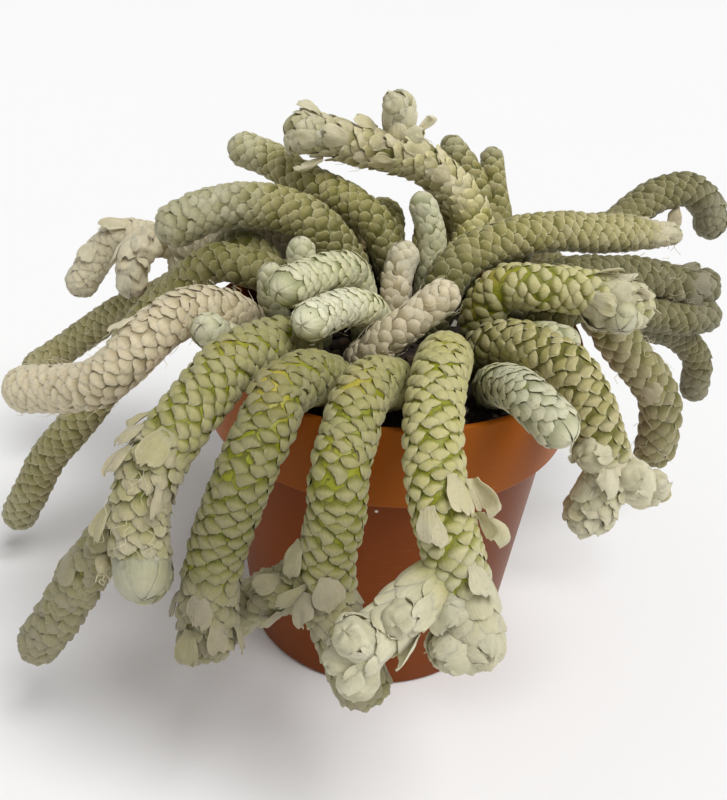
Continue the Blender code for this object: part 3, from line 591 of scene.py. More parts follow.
def new_piece(name, places, faces, looks=None):
    """A smooth mesh object from places in millimetres, arrays of faces that each have one number of
    corners and a material index, and a value per vertex for each look."""
    mesh = bpy.data.meshes.new(name)
    corners = np.concatenate([block.ravel() for block, _ in faces])
    sizes = np.concatenate([np.full(len(block), block.shape[1]) for block, _ in faces])
    slots = np.concatenate([np.full(len(block), slot) for block, slot in faces])
    mesh.vertices.add(len(places))
    mesh.vertices.foreach_set("co", (places * MM).astype(np.float32).ravel())
    mesh.loops.add(len(corners))
    mesh.loops.foreach_set("vertex_index", corners.astype(np.int32))
    mesh.polygons.add(len(sizes))
    mesh.polygons.foreach_set("loop_start", np.concatenate(([0], np.cumsum(sizes)[:-1])).astype(np.int32))
    mesh.polygons.foreach_set("material_index", slots.astype(np.int32))
    mesh.update(calc_edges=True)
    for look, values in (looks or {}).items():
        made = mesh.attributes.new(look, "FLOAT", "POINT")
        made.data.foreach_set("value", values.astype(np.float32).ravel())
    mesh.shade_smooth()
    obj = bpy.data.objects.new(name, mesh)
    bpy.context.scene.collection.objects.link(obj)
    return obj


def net_faces(rows, columns, closed=False):
    """The faces of a net of rows and columns, whose columns close into a ring where asked."""
    row = np.arange(rows - 1)[:, None] * columns
    column = np.arange(columns if closed else columns - 1)[None]
    following = (column + 1) % columns
    quads = np.stack([row + column, row + following, row + columns + following, row + columns + column], -1)
    return quads.reshape(-1, 4)


def round_turns(sides):
    """The turns of the corners of a ring."""
    return FULL_TURN * np.arange(sides) / sides


def capped_rings(rings, sides):
    """The faces of a closed solid made of rings and, after them, the middle of its foot and of its top."""
    count = rings * sides
    ring = np.arange(sides)
    after = (ring + 1) % sides
    foot = np.stack([np.full(sides, count), after, ring], 1)
    last = count - sides
    top = np.stack([np.full(sides, count + 1), last + ring, last + after], 1)
    return [net_faces(rings, sides, True), foot, top]


def turned(outline, sides):
    """The places and faces of a closed solid turned round Z, from (radius, height) points that run from
    the axis back to the axis, with the solid on their right."""
    turn = round_turns(sides)
    rings = np.array(outline[1:-1])
    places = np.stack([rings[:, :1] * np.cos(turn), rings[:, :1] * np.sin(turn),
                       np.repeat(rings[:, 1:], sides, 1)], -1).reshape(-1, 3)
    places = np.vstack((places, (0, 0, outline[0][1]), (0, 0, outline[-1][1])))
    return places, [(block, 0) for block in capped_rings(len(rings), sides)]


def finish_piece(obj, materials, node, sharp=38):
    """Gives a piece its materials, sharp edges and body, in place of its solid."""
    for made in materials:
        obj.data.materials.append(made)
    obj.data.set_sharp_from_angle(angle=math.radians(sharp))
    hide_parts(node)
    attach(obj, "root")


# Stem surfaces

class StemSurface:
    """The skin of one stem or lobe: a tube with a round end. A place on it is given by its distance along
    the stem, its turn round it, and its height in shares of the radius."""

    def __init__(self, line, girth, rooted, taper=NO_TAPER):
        self.line = smooth_line(line, SKIN_STEP)
        self.girth = girth
        self.rooted = rooted
        self.taper = taper
        steps = np.linalg.norm(np.diff(self.line, axis=0), axis=1)
        self.along = np.concatenate(([0.0], np.cumsum(steps)))
        self.length = self.along[-1]
        self.tangent, self.side, self.other = frames_along(self.line)
        bend = np.gradient(self.tangent, self.along, axis=0)
        kernel = np.ones(2 * BEND_REACH + 1) / (2 * BEND_REACH + 1)
        padded = np.pad(bend, ((BEND_REACH, BEND_REACH), (0, 0)), mode="edge")
        self.bend = np.stack([np.convolve(padded[:, k], kernel, "valid") for k in range(3)], 1)

    def at(self, field, along):
        return np.stack([np.interp(along, self.along, field[:, k]) for k in range(3)], -1)

    def radius(self, along):
        begin, slim = self.taper
        narrowed = 1 - (1 - slim) * eased(along, begin, self.length)
        return reach_at(np.minimum(along, self.length), self.girth, self.rooted) * narrowed

    def out(self, along, turn):
        """The unit vector square to the stem at a turn."""
        side = self.at(self.side, along) * np.cos(turn)[..., None]
        other = self.at(self.other, along) * np.sin(turn)[..., None]
        out = side + other
        return out / np.linalg.norm(out, axis=-1, keepdims=True)

    def place(self, along, turn, height):
        over = np.clip(along - self.length, 0, None) / (self.girth / 2)
        lean = np.minimum(over, math.pi / 2)[..., None]
        centre = self.at(self.line, np.minimum(along, self.length))
        reach = (self.radius(along) * height)[..., None]
        tangent = self.at(self.tangent, along)
        return centre + reach * (np.cos(lean) * self.out(along, turn) + np.sin(lean) * tangent)

    def stretch(self, along, turn):
        """How much longer the skin is than the centre-line: more than 1 outside a bend, less inside."""
        bend = (self.at(self.bend, along) * self.out(along, turn)).sum(-1)
        return np.clip(1 - self.radius(along) * bend, *STRETCH_LIMITS)

    def depth_of(self, places):
        """How deep places lie inside this stem, in shares of its radius: 1 on its centre-line."""
        apart = np.linalg.norm(places[:, None] - self.line[None], axis=2)
        near = apart.argmin(1)
        return 1 - apart.min(1) / self.radius(self.along[near])


@functools.lru_cache
def stem_surfaces():
    """Each stem's surfaces, its trunk first."""
    rows = centre_lines()
    surfaces = {}
    for (name, girth, _, rooted), line in zip(rows, bend_clear(rows)):
        taper = TAPERS.get(name, NO_TAPER) if rooted else NO_TAPER
        surfaces.setdefault(name, []).append(StemSurface(line, girth, rooted, taper))
    return surfaces


# Scales

def between(ends, share):
    """The value at a share of the way from one end to the other."""
    return ends[0] + (ends[1] - ends[0]) * share


def lay_scales(surface, coat, sizes, draw, begin, end):
    """Where each scale between two distances along a stem starts, its turn, length, half width and the
    rest, as arrays. With no end given, the scales run round the stem's end."""
    radius = surface.girth / 2
    width = sizes.scale_width / MM * coat.size
    pitch = sizes.row_spacing / MM * coat.size
    count = max(4, int(round(FULL_TURN * radius / width)))
    sector = FULL_TURN / count
    length = 2 * pitch * coat.cover
    rows = np.arange(begin, end or surface.length + coat.bud * radius - length, pitch)
    row = np.repeat(np.arange(len(rows)), count)
    column = np.tile(np.arange(count), len(rows))
    twist = draw.uniform(-WIND, WIND)
    laid = {
        "start": rows[row] + draw.uniform(-1, 1, len(row)) * coat.stray * pitch,
        "turn": (column + 0.5 * (row % 2)) * sector + twist * rows[row],
        "length": np.full(len(row), length),
        "half": np.full(len(row), sector / 2),
        "tilt": draw.normal(10 * twist, SLANT, len(row)),
    }
    laid["turn"] += draw.uniform(-1, 1, len(row)) * coat.stray * sector * 0.4
    stretch = surface.stretch(laid["start"] + 0.6 * length, laid["turn"])
    laid["length"] *= draw.uniform(*LENGTHS, len(row)) / stretch / np.maximum(stretch, 1) ** 0.45
    laid["half"] *= draw.uniform(coat.slim, coat.slim + WIDTH_SPREAD, len(row))
    laid["lift"] = between(coat.lift, draw.uniform(0, 1, len(row)) ** 2)
    laid["lift"] += CREST_LIFT * eased(stretch, 1.15, 1.45) * draw.uniform(0, 1, len(row))
    laid["dry"] = between(coat.dry, draw.uniform(0, 1, len(row)) ** 1.5)
    laid["chance"] = draw.uniform(0, 1, len(row))
    return laid


def lay_bud(surface, coat, sizes, draw):
    """The few wide scales that close over a stem's end."""
    radius = surface.girth / 2
    start = surface.length + coat.bud * radius - 1.5 * sizes.row_spacing / MM * coat.size * coat.cover
    start = max(start, 0.2)
    return {
        "start": np.full(BUD_SCALES, start),
        "turn": (np.arange(BUD_SCALES) + draw.uniform(-0.1, 0.1, BUD_SCALES)) * FULL_TURN / BUD_SCALES,
        "length": np.full(BUD_SCALES, radius * math.pi / 2 + surface.length - start + 0.1),
        "half": np.full(BUD_SCALES, math.pi / BUD_SCALES * 1.25),
        "tilt": np.zeros(BUD_SCALES),
        "lift": np.zeros(BUD_SCALES),
        "dry": draw.uniform(*BUD.dry, BUD_SCALES),
        "chance": draw.uniform(0.4, 1, BUD_SCALES),
    }


def keep_scales(laid, keep):
    return {key: values[keep] for key, values in laid.items()}


def eased(value, low, high):
    """0 below low, 1 above high, and smooth between them."""
    share = np.clip((value - low) / (high - low), 0, 1)
    return share * share * (3 - 2 * share)


def past(share, start):
    """How far a share is past a start: 0 up to there, and 1 at the end."""
    return np.clip((share - start) / (1 - start), 0, 1)


def scale_width_at(share, coat):
    """A scale's half width along its length, in shares of its widest."""
    spread = coat.foot + (1 - coat.foot) * eased(share, NARROW, WIDEST)
    return spread * (1 - 0.96 * past(share, WIDEST) ** coat.point) ** 0.5


def creases(across, share, waves):
    """Soft crumples and sharp folds, from 4 waves that differ from scale to scale."""
    soft = np.sin(2.6 * across + 3.4 * share + waves[0]) + 0.7 * np.sin(4.6 * across - 4.0 * share + waves[1])
    folds = np.abs(np.sin(3.1 * across + 2.0 * share + waves[2]))
    folds += 0.5 * np.abs(np.sin(5.0 * share - 3.6 * across + waves[3]))
    return soft + 1.3 * (0.8 - folds)


def crest_share(surface, along, turn):
    """How far a place lies on the outside of a stem's first bend, over the rim."""
    outside = eased(surface.stretch(along, turn), *CREST_STRETCH)
    return outside * (1 - eased(along / surface.length, *CREST_END))


def scale_places(surface, coat, laid, draw):
    """The places of each scale's net, with its looks."""
    total = len(laid["start"])
    net_across, net_along = (np.array(side) for side in coat.net)
    shape = (total, len(net_along), len(net_across))
    rank = np.broadcast_to(net_along[None, :, None], shape)
    across = np.broadcast_to(net_across[None, None, :], shape)
    share = rank + coat.bow * across ** 2 * 4 * rank * (1 - rank)

    def each(values):
        return values[:, None, None]

    waves = draw.uniform(0, FULL_TURN, (4, total))
    ragged = draw.uniform(-1, 1, shape) * coat.ragged
    width = scale_width_at(share, coat) * each(laid["half"]) * (1 + ragged)
    free = past(share, FREE_FROM)
    along = each(laid["start"]) + each(laid["length"]) * (share + ragged * free ** 2 * 0.6)
    along = along + across * free * each(laid["tilt"])
    skew = each(draw.uniform(-0.12, 0.12, total)) * free
    turn = each(laid["turn"]) + (across + skew) * width
    height = FOOT_SHARE + (coat.crown - FOOT_SHARE) * eased(rank, *coat.rise)
    height = height + (coat.tip - coat.crown) * past(rank, TIP_FROM) ** 2
    lift = each(laid["lift"]) / (surface.girth / 2) * free ** 1.6
    clear = np.clip(share / 0.3, 0, 1)
    dome = clear * eased(rank, coat.rise[0] - 0.3, coat.rise[1])
    height = height - (coat.side * across ** 2 - coat.swirl * across) * dome + lift
    crumple = creases(across, share, [each(wave) for wave in waves])
    height = height + crumple * coat.crumple * (0.6 + each(laid["dry"])) * clear
    places = surface.place(along, turn, height)
    looks = {
        "along": np.interp(rank, (0.0, *coat.face, 1.0), (0.0, 0.3, 0.85, 1.0)),
        "across": across,
        "edge": np.maximum(np.abs(across) * np.clip(rank * 4 - 1, 0, 1), rank),
        "chance": np.broadcast_to(each(laid["chance"]), shape),
        "dry": np.broadcast_to(each(laid["dry"]), shape),
        "station": np.clip(along / surface.length, 0, 1.05),
        "crest": crest_share(surface, along, turn),
    }
    return places, looks


def closed_net(total, net):
    """The faces of that many closed scales: the skin, the underside and the two ends."""
    columns, rows = len(net[0]), len(net[1])
    first = (np.arange(total) * rows * columns)[:, None, None]
    skin = net_faces(rows, columns)[None] + first
    row = np.arange(rows - 1) * columns
    under = np.stack([row, row + columns, row + 2 * columns - 1, row + columns - 1], 1)[None] + first
    foot = np.arange(columns)[::-1][None, None] + first
    tip = (np.arange(columns) + (rows - 1) * columns)[None, None] + first
    return [skin.reshape(-1, 4), under.reshape(-1, 4), foot.reshape(-1, columns), tip.reshape(-1, columns)]


def flap(surface, along, turn, length, width, lift, splay, draw):
    """The places, faces and looks of one thin papery flap, cupped like a petal and held at its foot."""
    net_across, net_along = (np.array(side) for side in FINE_NET)
    share, across = np.meshgrid(net_along, net_across, indexing="ij")
    waves = draw.uniform(0, FULL_TURN, 4)
    radius = surface.girth / 2
    spread = (0.5 + 0.5 * eased(share, 0, 0.6)) * (1 - 0.7 * past(share, FLAP_SHOULDER) ** 3) ** 0.7
    notched = 1 + 0.07 * np.sin(4 * across + waves[0]) + 0.04 * np.sin(9 * across + waves[1])
    cup = draw.uniform(-0.05, 0.16) * width
    rise = lift * share ** 1.4 + 0.06 * eased(share, 0, 0.3) - cup * across ** 2 * share
    rise = rise + 0.11 * creases(across, share, waves) * eased(share, 0, 0.4)
    rise = rise + splay * (across + 1) / 2 * width * spread
    height = 0.86 + 0.09 * eased(share, 0, 0.35) + rise / radius
    at = along + length * share * notched + across * draw.uniform(-0.8, 0.8) * share
    side = turn + (1 - splay) * across * width / 2 * spread / (radius * height)
    side = side + 0.1 * splay * np.sin(2.5 * across + 2 * share + waves[2])
    skin = surface.place(at, side, height)
    way = np.cross(np.gradient(skin, axis=0), np.gradient(skin, axis=1))
    way /= np.linalg.norm(way, axis=-1, keepdims=True)
    inner = skin + way * PAPER
    places = np.vstack((skin.reshape(-1, 3), inner.reshape(-1, 3)))
    rows, columns = share.shape
    count = rows * columns
    net = net_faces(rows, columns)
    edge = np.concatenate((np.arange(columns), np.arange(2, rows + 1) * columns - 1,
                           np.arange(columns - 2, -1, -1) + count - columns,
                           np.arange(rows - 2, 0, -1) * columns))
    after = np.roll(edge, -1)
    sides = np.stack([after, edge, edge + count, after + count], 1)
    values = {"along": 0.6 + 0.4 * share, "across": across, "edge": np.maximum(np.abs(across), share),
              "chance": draw.uniform(0.3, 1.0), "dry": draw.uniform(0.5, 1.0),
              "station": np.clip(at / surface.length, 0, 1), "crest": 0.0}
    looks = {key: np.tile(np.broadcast_to(value, share.shape).ravel(), 2) for key, value in values.items()}
    return places, [net, net[:, ::-1] + count, sides], looks


def turn_towards(surface, along, way):
    """The turn at which the stem's skin faces this way."""
    turns = np.linspace(0, FULL_TURN, 73)[:-1]
    return turns[np.argmax(surface.out(np.full(len(turns), along), turns) @ np.array(way))]


def thread(points, thickness):
    """The places and faces of a thin closed thread."""
    line = smooth_line(points, THREAD_STEP)
    _, side, other = frames_along(line)
    turn = round_turns(THREAD_SIDES)
    reach = (thickness / 2 * np.linspace(1, 0.6, len(line)))[:, None, None]
    ring = side[:, None] * np.cos(turn)[:, None] + other[:, None] * np.sin(turn)[:, None]
    places = (line[:, None] + reach * ring).reshape(-1, 3)
    first = np.arange(THREAD_SIDES)[None]
    return places, [net_faces(len(line), THREAD_SIDES, True), first[:, ::-1],
                    first + len(places) - THREAD_SIDES]


def even_looks(count, dry, stain, station):
    """The looks of a small part that has one look all over."""
    values = {"along": 0.9, "across": 0.3, "edge": 0.5, "chance": 0.7, "dry": dry, "stain": stain,
              "station": station, "crest": 0.0}
    return {key: np.full(count, float(value)) for key, value in values.items()}


def dried_flower(surface, along, way, size, draw):
    """(places, faces, looks) for a crumpled cup, its dark mouth and the threads that hang from it."""
    turn = turn_towards(surface, along, way)
    foot = surface.place(np.array([along]), np.array([turn]), np.array([0.95]))[0]
    way = np.array(way) / np.linalg.norm(way)
    hang = way * 0.6 + (0.0, 0.0, -0.8)
    hang /= np.linalg.norm(hang)
    cup = StemSurface(np.stack([foot - way * 0.3, foot + way * 0.9 * size,
                                foot + way * size + hang * 1.9 * size]), 2.1 * size, False)
    station = along / surface.length
    share, turns = np.meshgrid(np.linspace(0, 1, FLOWER_RINGS), round_turns(FLOWER_SIDES), indexing="ij")
    profile = 0.35 + 0.65 * eased(share, 0.0, 0.45) - 0.2 * eased(share, 0.7, 1.0)
    waves = draw.uniform(0, FULL_TURN, 3)
    profile = profile * (1 + 0.10 * np.sin(3 * turns + 4 * share + waves[0])
                         + 0.07 * np.sin(5 * turns - 6 * share + waves[1]))
    outer = cup.place(share * cup.length, turns, profile).reshape(-1, 3)
    inner = cup.place((1 - share * 0.45) * cup.length, turns, profile[::-1] * 0.8).reshape(-1, 3)
    places = np.vstack((outer, inner))
    first = np.arange(FLOWER_SIDES)[None]
    faces = [net_faces(2 * FLOWER_RINGS, FLOWER_SIDES, True), first[:, ::-1],
             first + len(places) - FLOWER_SIDES]
    looks = even_looks(len(places), 1.0, 0.1, station)
    looks["stain"][len(outer) + 2 * FLOWER_SIDES:] = 0.9
    looks["chance"] = draw.uniform(0.2, 1, len(places))
    made = [(places, faces, looks)]
    mouth = cup.line[-1] - cup.tangent[-1] * 0.4
    for i in range(FLOWER_THREADS):
        steps = draw.normal(0, 0.45, (5, 3)) + hang * 0.62 * (1 if i else 1.8)
        points = mouth + np.vstack((np.zeros(3), np.cumsum(steps, 0))) * size * draw.uniform(0.5, 1.0)
        places, faces = thread(points, THREAD_GIRTH)
        made.append((places, faces, even_looks(len(places), 1.0, 0.5 if i == 0 else 0.05, station)))
    return made


def loose_hairs(surface, low, high, count, draw):
    """(places, faces, looks) for fine hairs that lie loosely on a stem."""
    made = []
    for along in surface.length * draw.uniform(low, high, count):
        turns = draw.uniform(0, FULL_TURN) + np.cumsum(draw.normal(0, 0.16, 5))
        height = 0.93 + np.array([0.0, 0.06, 0.10, 0.12, 0.16]) * draw.uniform(0.3, 2.2)
        reach = along + np.linspace(0, 1, 5) * draw.uniform(1.2, 3.2)
        places, faces = thread(surface.place(reach, turns, height), HAIR_GIRTH)
        made.append((places, faces, even_looks(len(places), 0.9, 0.0, along / surface.length)))
    return made


def flesh_tube(surface, draw):
    """The places, faces and looks of the flesh under the scales."""
    steps = max(4, int(surface.length / FLESH_STEP))
    dome = surface.girth / 2 * np.linspace(0.25, 1.45, 5)
    along = np.concatenate((np.linspace(0, surface.length, steps), surface.length + dome))
    along, turn = np.meshgrid(along, round_turns(FLESH_SIDES), indexing="ij")
    waves = draw.uniform(0, FULL_TURN, 2)
    lumps = np.sin(1.9 * along + 3 * turn + waves[0]) + np.sin(1.1 * along - 5 * turn + waves[1])
    places = surface.place(along, turn, FLESH_SHARE + 0.008 * lumps).reshape(-1, 3)
    ends = surface.place(np.array([0.0, surface.length + 10]), np.zeros(2), np.array([0.0, FLESH_SHARE]))
    looks = dict.fromkeys(("along", "across", "edge", "chance", "dry"), np.full(len(places) + 2, 0.5))
    looks["station"] = np.append(np.clip(along / surface.length, 0, 1), (0, 1))
    looks["crest"] = np.append(crest_share(surface, along, turn), (0, 0))
    return np.vstack((places, ends)), capped_rings(len(along), FLESH_SIDES), looks


def cloud(surface, draw):
    """The parts of a crumpled papery puff: a ball with soft folds, and loose sheets on it."""
    along = np.linspace(0, surface.length + surface.girth * 0.74, CLOUD_RINGS)
    along, turn = np.meshgrid(along, round_turns(CLOUD_SIDES), indexing="ij")
    waves = draw.uniform(0, FULL_TURN, 5)
    lumps = 0.6 * np.sin(2 * turn + 1.1 * along + waves[0]) + 0.5 * np.sin(3 * turn - 0.9 * along + waves[1])
    lumps += 0.5 * np.sin(1.7 * along + waves[2])
    folds = np.abs(np.sin(1.5 * turn + 0.8 * along + waves[3])) - 0.64
    folds += 0.6 * (np.abs(np.sin(2.5 * turn - 1.1 * along + waves[4])) - 0.64)
    skin = surface.place(along, turn, 0.9 + 0.045 * lumps + 0.12 * folds).reshape(-1, 3)
    ends = surface.place(np.array([0.0, surface.length + surface.girth]), np.zeros(2), np.array([0.0, 0.88]))
    looks = even_looks(len(skin) + 2, 0.65, 0.0, 0.5)
    looks["chance"][:-2] = np.clip(0.6 + 0.3 * lumps, 0, 1).ravel()
    looks["edge"][:-2] = np.clip(0.4 + folds, 0, 1).ravel() * 0.5
    made = [(np.vstack((skin, ends)), capped_rings(CLOUD_RINGS, CLOUD_SIDES), looks)]
    for _ in range(LOOSE_SHEETS):
        made.append(flap(surface, draw.uniform(-0.2, 0.5) * surface.girth, draw.uniform(0, FULL_TURN),
                         surface.girth * draw.uniform(0.5, 0.8), surface.girth * draw.uniform(0.5, 0.8),
                         draw.uniform(0.1, 0.5), 0.0, draw))
    return made


LOOKS = ("along", "across", "edge", "chance", "dry", "crest", "stain", "foot_flesh_and_shade", "tone_and_shade", "bloom")


class Gathered:
    """The places, faces and looks of a stem as they are gathered. The foot of a nested one stands among the
    stems, and gets painted shade and a greener tint there."""

    def __init__(self, nested):
        self.nested = nested
        self.places = []
        self.faces = []
        self.looks = {key: [] for key in LOOKS}
        self.count = 0

    def add(self, places, faces, looks, tone_and_shade, slot=0):
        """Adds places whose lightness, dryness and bloom run along the stem as given, with painted shade
        darkening them near the nest.
        """
        foot, tip, drying, bloom, begin = tone_and_shade
        station = looks["station"]
        looks.setdefault("stain", 0.0)
        # Partly painted shade: at the feet of nested stems more of the flesh's green shows through the scales
        looks["foot_flesh_and_shade"] = self.nested * (1 - eased(station, 0.2, 0.62))
        # Painted shade: near the nest among the stems' feet the lightness is darkened
        from_nest = np.linalg.norm(places.reshape(-1, 3) - NEST, axis=1).reshape(np.shape(station))
        shade = 1 - NEST_SHADE * self.nested * (1 - eased(from_nest, *NEST_REACH))
        looks["tone_and_shade"] = (foot + (tip - foot) * eased(station, 0.1, 0.9)) * shade
        looks["dry"] = np.clip(looks["dry"] + drying * eased(station, 0.3, 1.0) * 0.7, 0, 1)
        looks["bloom"] = bloom * eased(station, begin, begin + 0.2) * (0.55 + 0.45 * looks["chance"])
        places = places.reshape(-1, 3)
        self.places.append(places)
        self.faces += [(block + self.count, slot) for block in faces]
        for key, values in self.looks.items():
            values.append(np.broadcast_to(looks[key], looks["along"].shape).ravel())
        self.count += len(places)


def add_scales(gathered, surface, row, others, sizes, draw, tone_and_shade):
    """Covers one trunk, lobe or puff in its row of coats."""
    coats = row[::2]
    starts = [max(share * surface.length, UPRIGHT - 1.5 if surface.rooted else 0.5)
              for share in (0.0, *row[1::2])]
    blocks = [(coat, lay_scales(surface, coat, sizes, draw, start, end))
              for coat, start, end in zip(coats, starts, starts[1:] + [None])]
    blocks.append((BUD, lay_bud(surface, coats[-1], sizes, draw)))
    for coat, laid in blocks:
        middle = surface.place(laid["start"] + 0.7 * laid["length"], laid["turn"],
                               np.full(len(laid["start"]), 0.9))
        keep = np.ones(len(middle), bool)
        for other in others:
            keep &= other.depth_of(middle) < HIDDEN_DEPTH
        if keep.any():
            places, looks = scale_places(surface, coat, keep_scales(laid, keep), draw)
            gathered.add(places, closed_net(len(places), coat.net), looks, tone_and_shade)


def add_puff(gathered, surface, place, reach, girth, coat, tone_and_shade, sizes, draw):
    """A papery puff on a trunk or lobe: in its coat, or with none as a crumpled ball."""
    foot = surface.at(surface.line, place)
    puff = StemSurface(np.stack([foot, foot + np.array(reach) / 2, foot + reach]), girth, False)
    _, light, dried, bloom, _ = tone_and_shade
    tone_and_shade = (light, light, dried, max(bloom, 0.9 if coat else 0.35), -1.0)
    if coat:
        places, faces, looks = flesh_tube(puff, draw)
        looks["dry"] = looks["dry"] + 0.5
        gathered.add(places, faces, looks, tone_and_shade)
        add_scales(gathered, puff, coat, (), sizes, draw, tone_and_shade)
    else:
        for part in cloud(puff, draw):
            gathered.add(*part, tone_and_shade)


def grow_stem(name, sizes):
    """One stem with its lobes, puffs and flaps, in one piece."""
    draw = np.random.default_rng([sizes.seed, list(STEMS).index(name)])
    surfaces = stem_surfaces()[name]
    gathered = Gathered(name.startswith("stem"))
    rows = dict(enumerate(COATS.get(name, ())))
    known = TONES_AND_SHADE.get(name, (PLAIN_TONE,))
    tones = [known[i] if i < len(known) else known[0] for i in range(len(surfaces))]
    for i, (surface, tone_and_shade) in enumerate(zip(surfaces, tones)):
        gathered.add(*flesh_tube(surface, draw), tone_and_shade, slot=1)
        others = surfaces[:i] + surfaces[i + 1:]
        add_scales(gathered, surface, rows.get(i, (PEBBLED,)), others, sizes, draw, tone_and_shade)
    for lobe, place, reach, girth, *coat in PUFFS.get(name, ()):
        add_puff(gathered, surfaces[lobe], place, reach, girth, coat, tones[lobe], sizes, draw)
    for lobe, *shape in FLAPS.get(name, ()):
        gathered.add(*flap(surfaces[lobe], *shape, draw), tones[lobe])
    parts = []
    if name in FLOWERS:
        lobe, *shape = FLOWERS[name]
        parts += dried_flower(surfaces[lobe], *shape, draw)
    if name in HAIRS:
        parts += loose_hairs(surfaces[0], *HAIRS[name], draw)
    for part in parts:
        gathered.add(*part, THREAD_TONE)
    looks = {key: np.concatenate(values) for key, values in gathered.looks.items()}
    obj = new_piece("leafy_" + name.replace("stem_", ""), np.vstack(gathered.places), gathered.faces, looks)
    finish_piece(obj, scale_materials(slot_of(name)), name)


# Pot and soil

def rounded(corners, steps=5):
    """(radius, height) points along these corners, each (radius, height, how much it is rounded)."""
    points = [corners[0][:2]]
    for before, corner, after in zip(corners, corners[1:], corners[2:]):
        at = np.array(corner[:2], float)
        ends = []
        for other in (before, after):
            way = np.array(other[:2], float) - at
            ends.append(at + way / np.linalg.norm(way) * min(corner[2], np.linalg.norm(way) * 0.45))
        for t in np.linspace(0, 1, steps if corner[2] else 1):
            points.append(tuple((1 - t) ** 2 * ends[0] + 2 * t * (1 - t) * at + t ** 2 * ends[1]))
    points.append(corners[-1][:2])
    return points


def inner_foot():
    """The inside radius where the pot's wall meets its base."""
    slope = (NECK_RADIUS - BASE_RADIUS) / (POT_HEIGHT - COLLAR_HEIGHT)
    return BASE_RADIUS - WALL + slope * BASE_THICKNESS


def pot_piece():
    """The pot, turned from corners that are each rounded by a length, with its drain holes cut out."""
    ledge = POT_HEIGHT - COLLAR_HEIGHT
    outline = rounded((
        (0.0, 0.0, 0), (BASE_RADIUS - 2.2, 0.0, 0.2), (BASE_RADIUS, 0.0, 0.9),
        (NECK_RADIUS, ledge, 0.35), (COLLAR_FOOT_RADIUS, ledge, 0.6),
        (RIM_RADIUS, POT_HEIGHT, 0.55), (RIM_RADIUS - WALL, POT_HEIGHT, 0.45),
        (COLLAR_FOOT_RADIUS - WALL, ledge + WALL, 0.6), (NECK_RADIUS - WALL / 2, ledge + WALL, 0.5),
        (NECK_RADIUS - WALL, ledge, 0.5), (inner_foot(), BASE_THICKNESS, 1.0), (0.0, BASE_THICKNESS, 0),
    ))
    places, faces = turned(outline, POT_SIDES)
    obj = new_piece("nursery_pot", places, faces)
    cutters = bpy.data.collections.new("drain_holes")
    bpy.context.scene.collection.children.link(cutters)
    for i in range(DRAIN_HOLES):
        turn = FULL_TURN * i / DRAIN_HOLES
        top = BASE_THICKNESS + DRAIN_REACH
        shaft = [(0.0, -DRAIN_REACH), (DRAIN_RADIUS, -DRAIN_REACH), (DRAIN_RADIUS, top), (0.0, top)]
        places, faces = turned(shaft, DRAIN_SIDES)
        places = places + (DRAIN_CIRCLE * math.cos(turn), DRAIN_CIRCLE * math.sin(turn), 0)
        cutter = new_piece(f"drain_{i + 1}", places, faces)
        cutters.objects.link(cutter)
    cut = obj.modifiers.new("drain_holes", "BOOLEAN")
    cut.operand_type = "COLLECTION"
    cut.collection = cutters
    graph = bpy.context.evaluated_depsgraph_get()
    drained = bpy.data.meshes.new_from_object(obj.evaluated_get(graph))
    obj.modifiers.clear()
    obj.data = drained
    for cutter in list(cutters.objects):
        bpy.data.objects.remove(cutter, do_unlink=True)
    bpy.data.collections.remove(cutters)
    finish_piece(obj, [pot_material()], "pot", sharp=30)


def ball_net():
    """The places and faces of a 20-sided crumb."""
    gold = (1 + math.sqrt(5)) / 2
    corners = []
    for a in (-1, 1):
        for b in (-gold, gold):
            corners += [(0, a, b), (a, b, 0), (b, 0, a)]
    corners = np.array(corners, float)
    corners /= np.linalg.norm(corners[0])
    apart = np.linalg.norm(corners[:, None] - corners[None], axis=2)
    # Corners that share an edge lie about 1.05 apart
    touch = (apart > 0.1) & (apart < 1.2)
    faces = []
    for i, j, k in itertools.combinations(range(GRAIN_CORNERS), 3):
        if touch[i, j] and touch[j, k] and touch[i, k]:
            way = np.dot(np.cross(corners[j] - corners[i], corners[k] - corners[i]), corners[i])
            faces.append((i, j, k) if way > 0 else (i, k, j))
    return corners, np.array(faces)


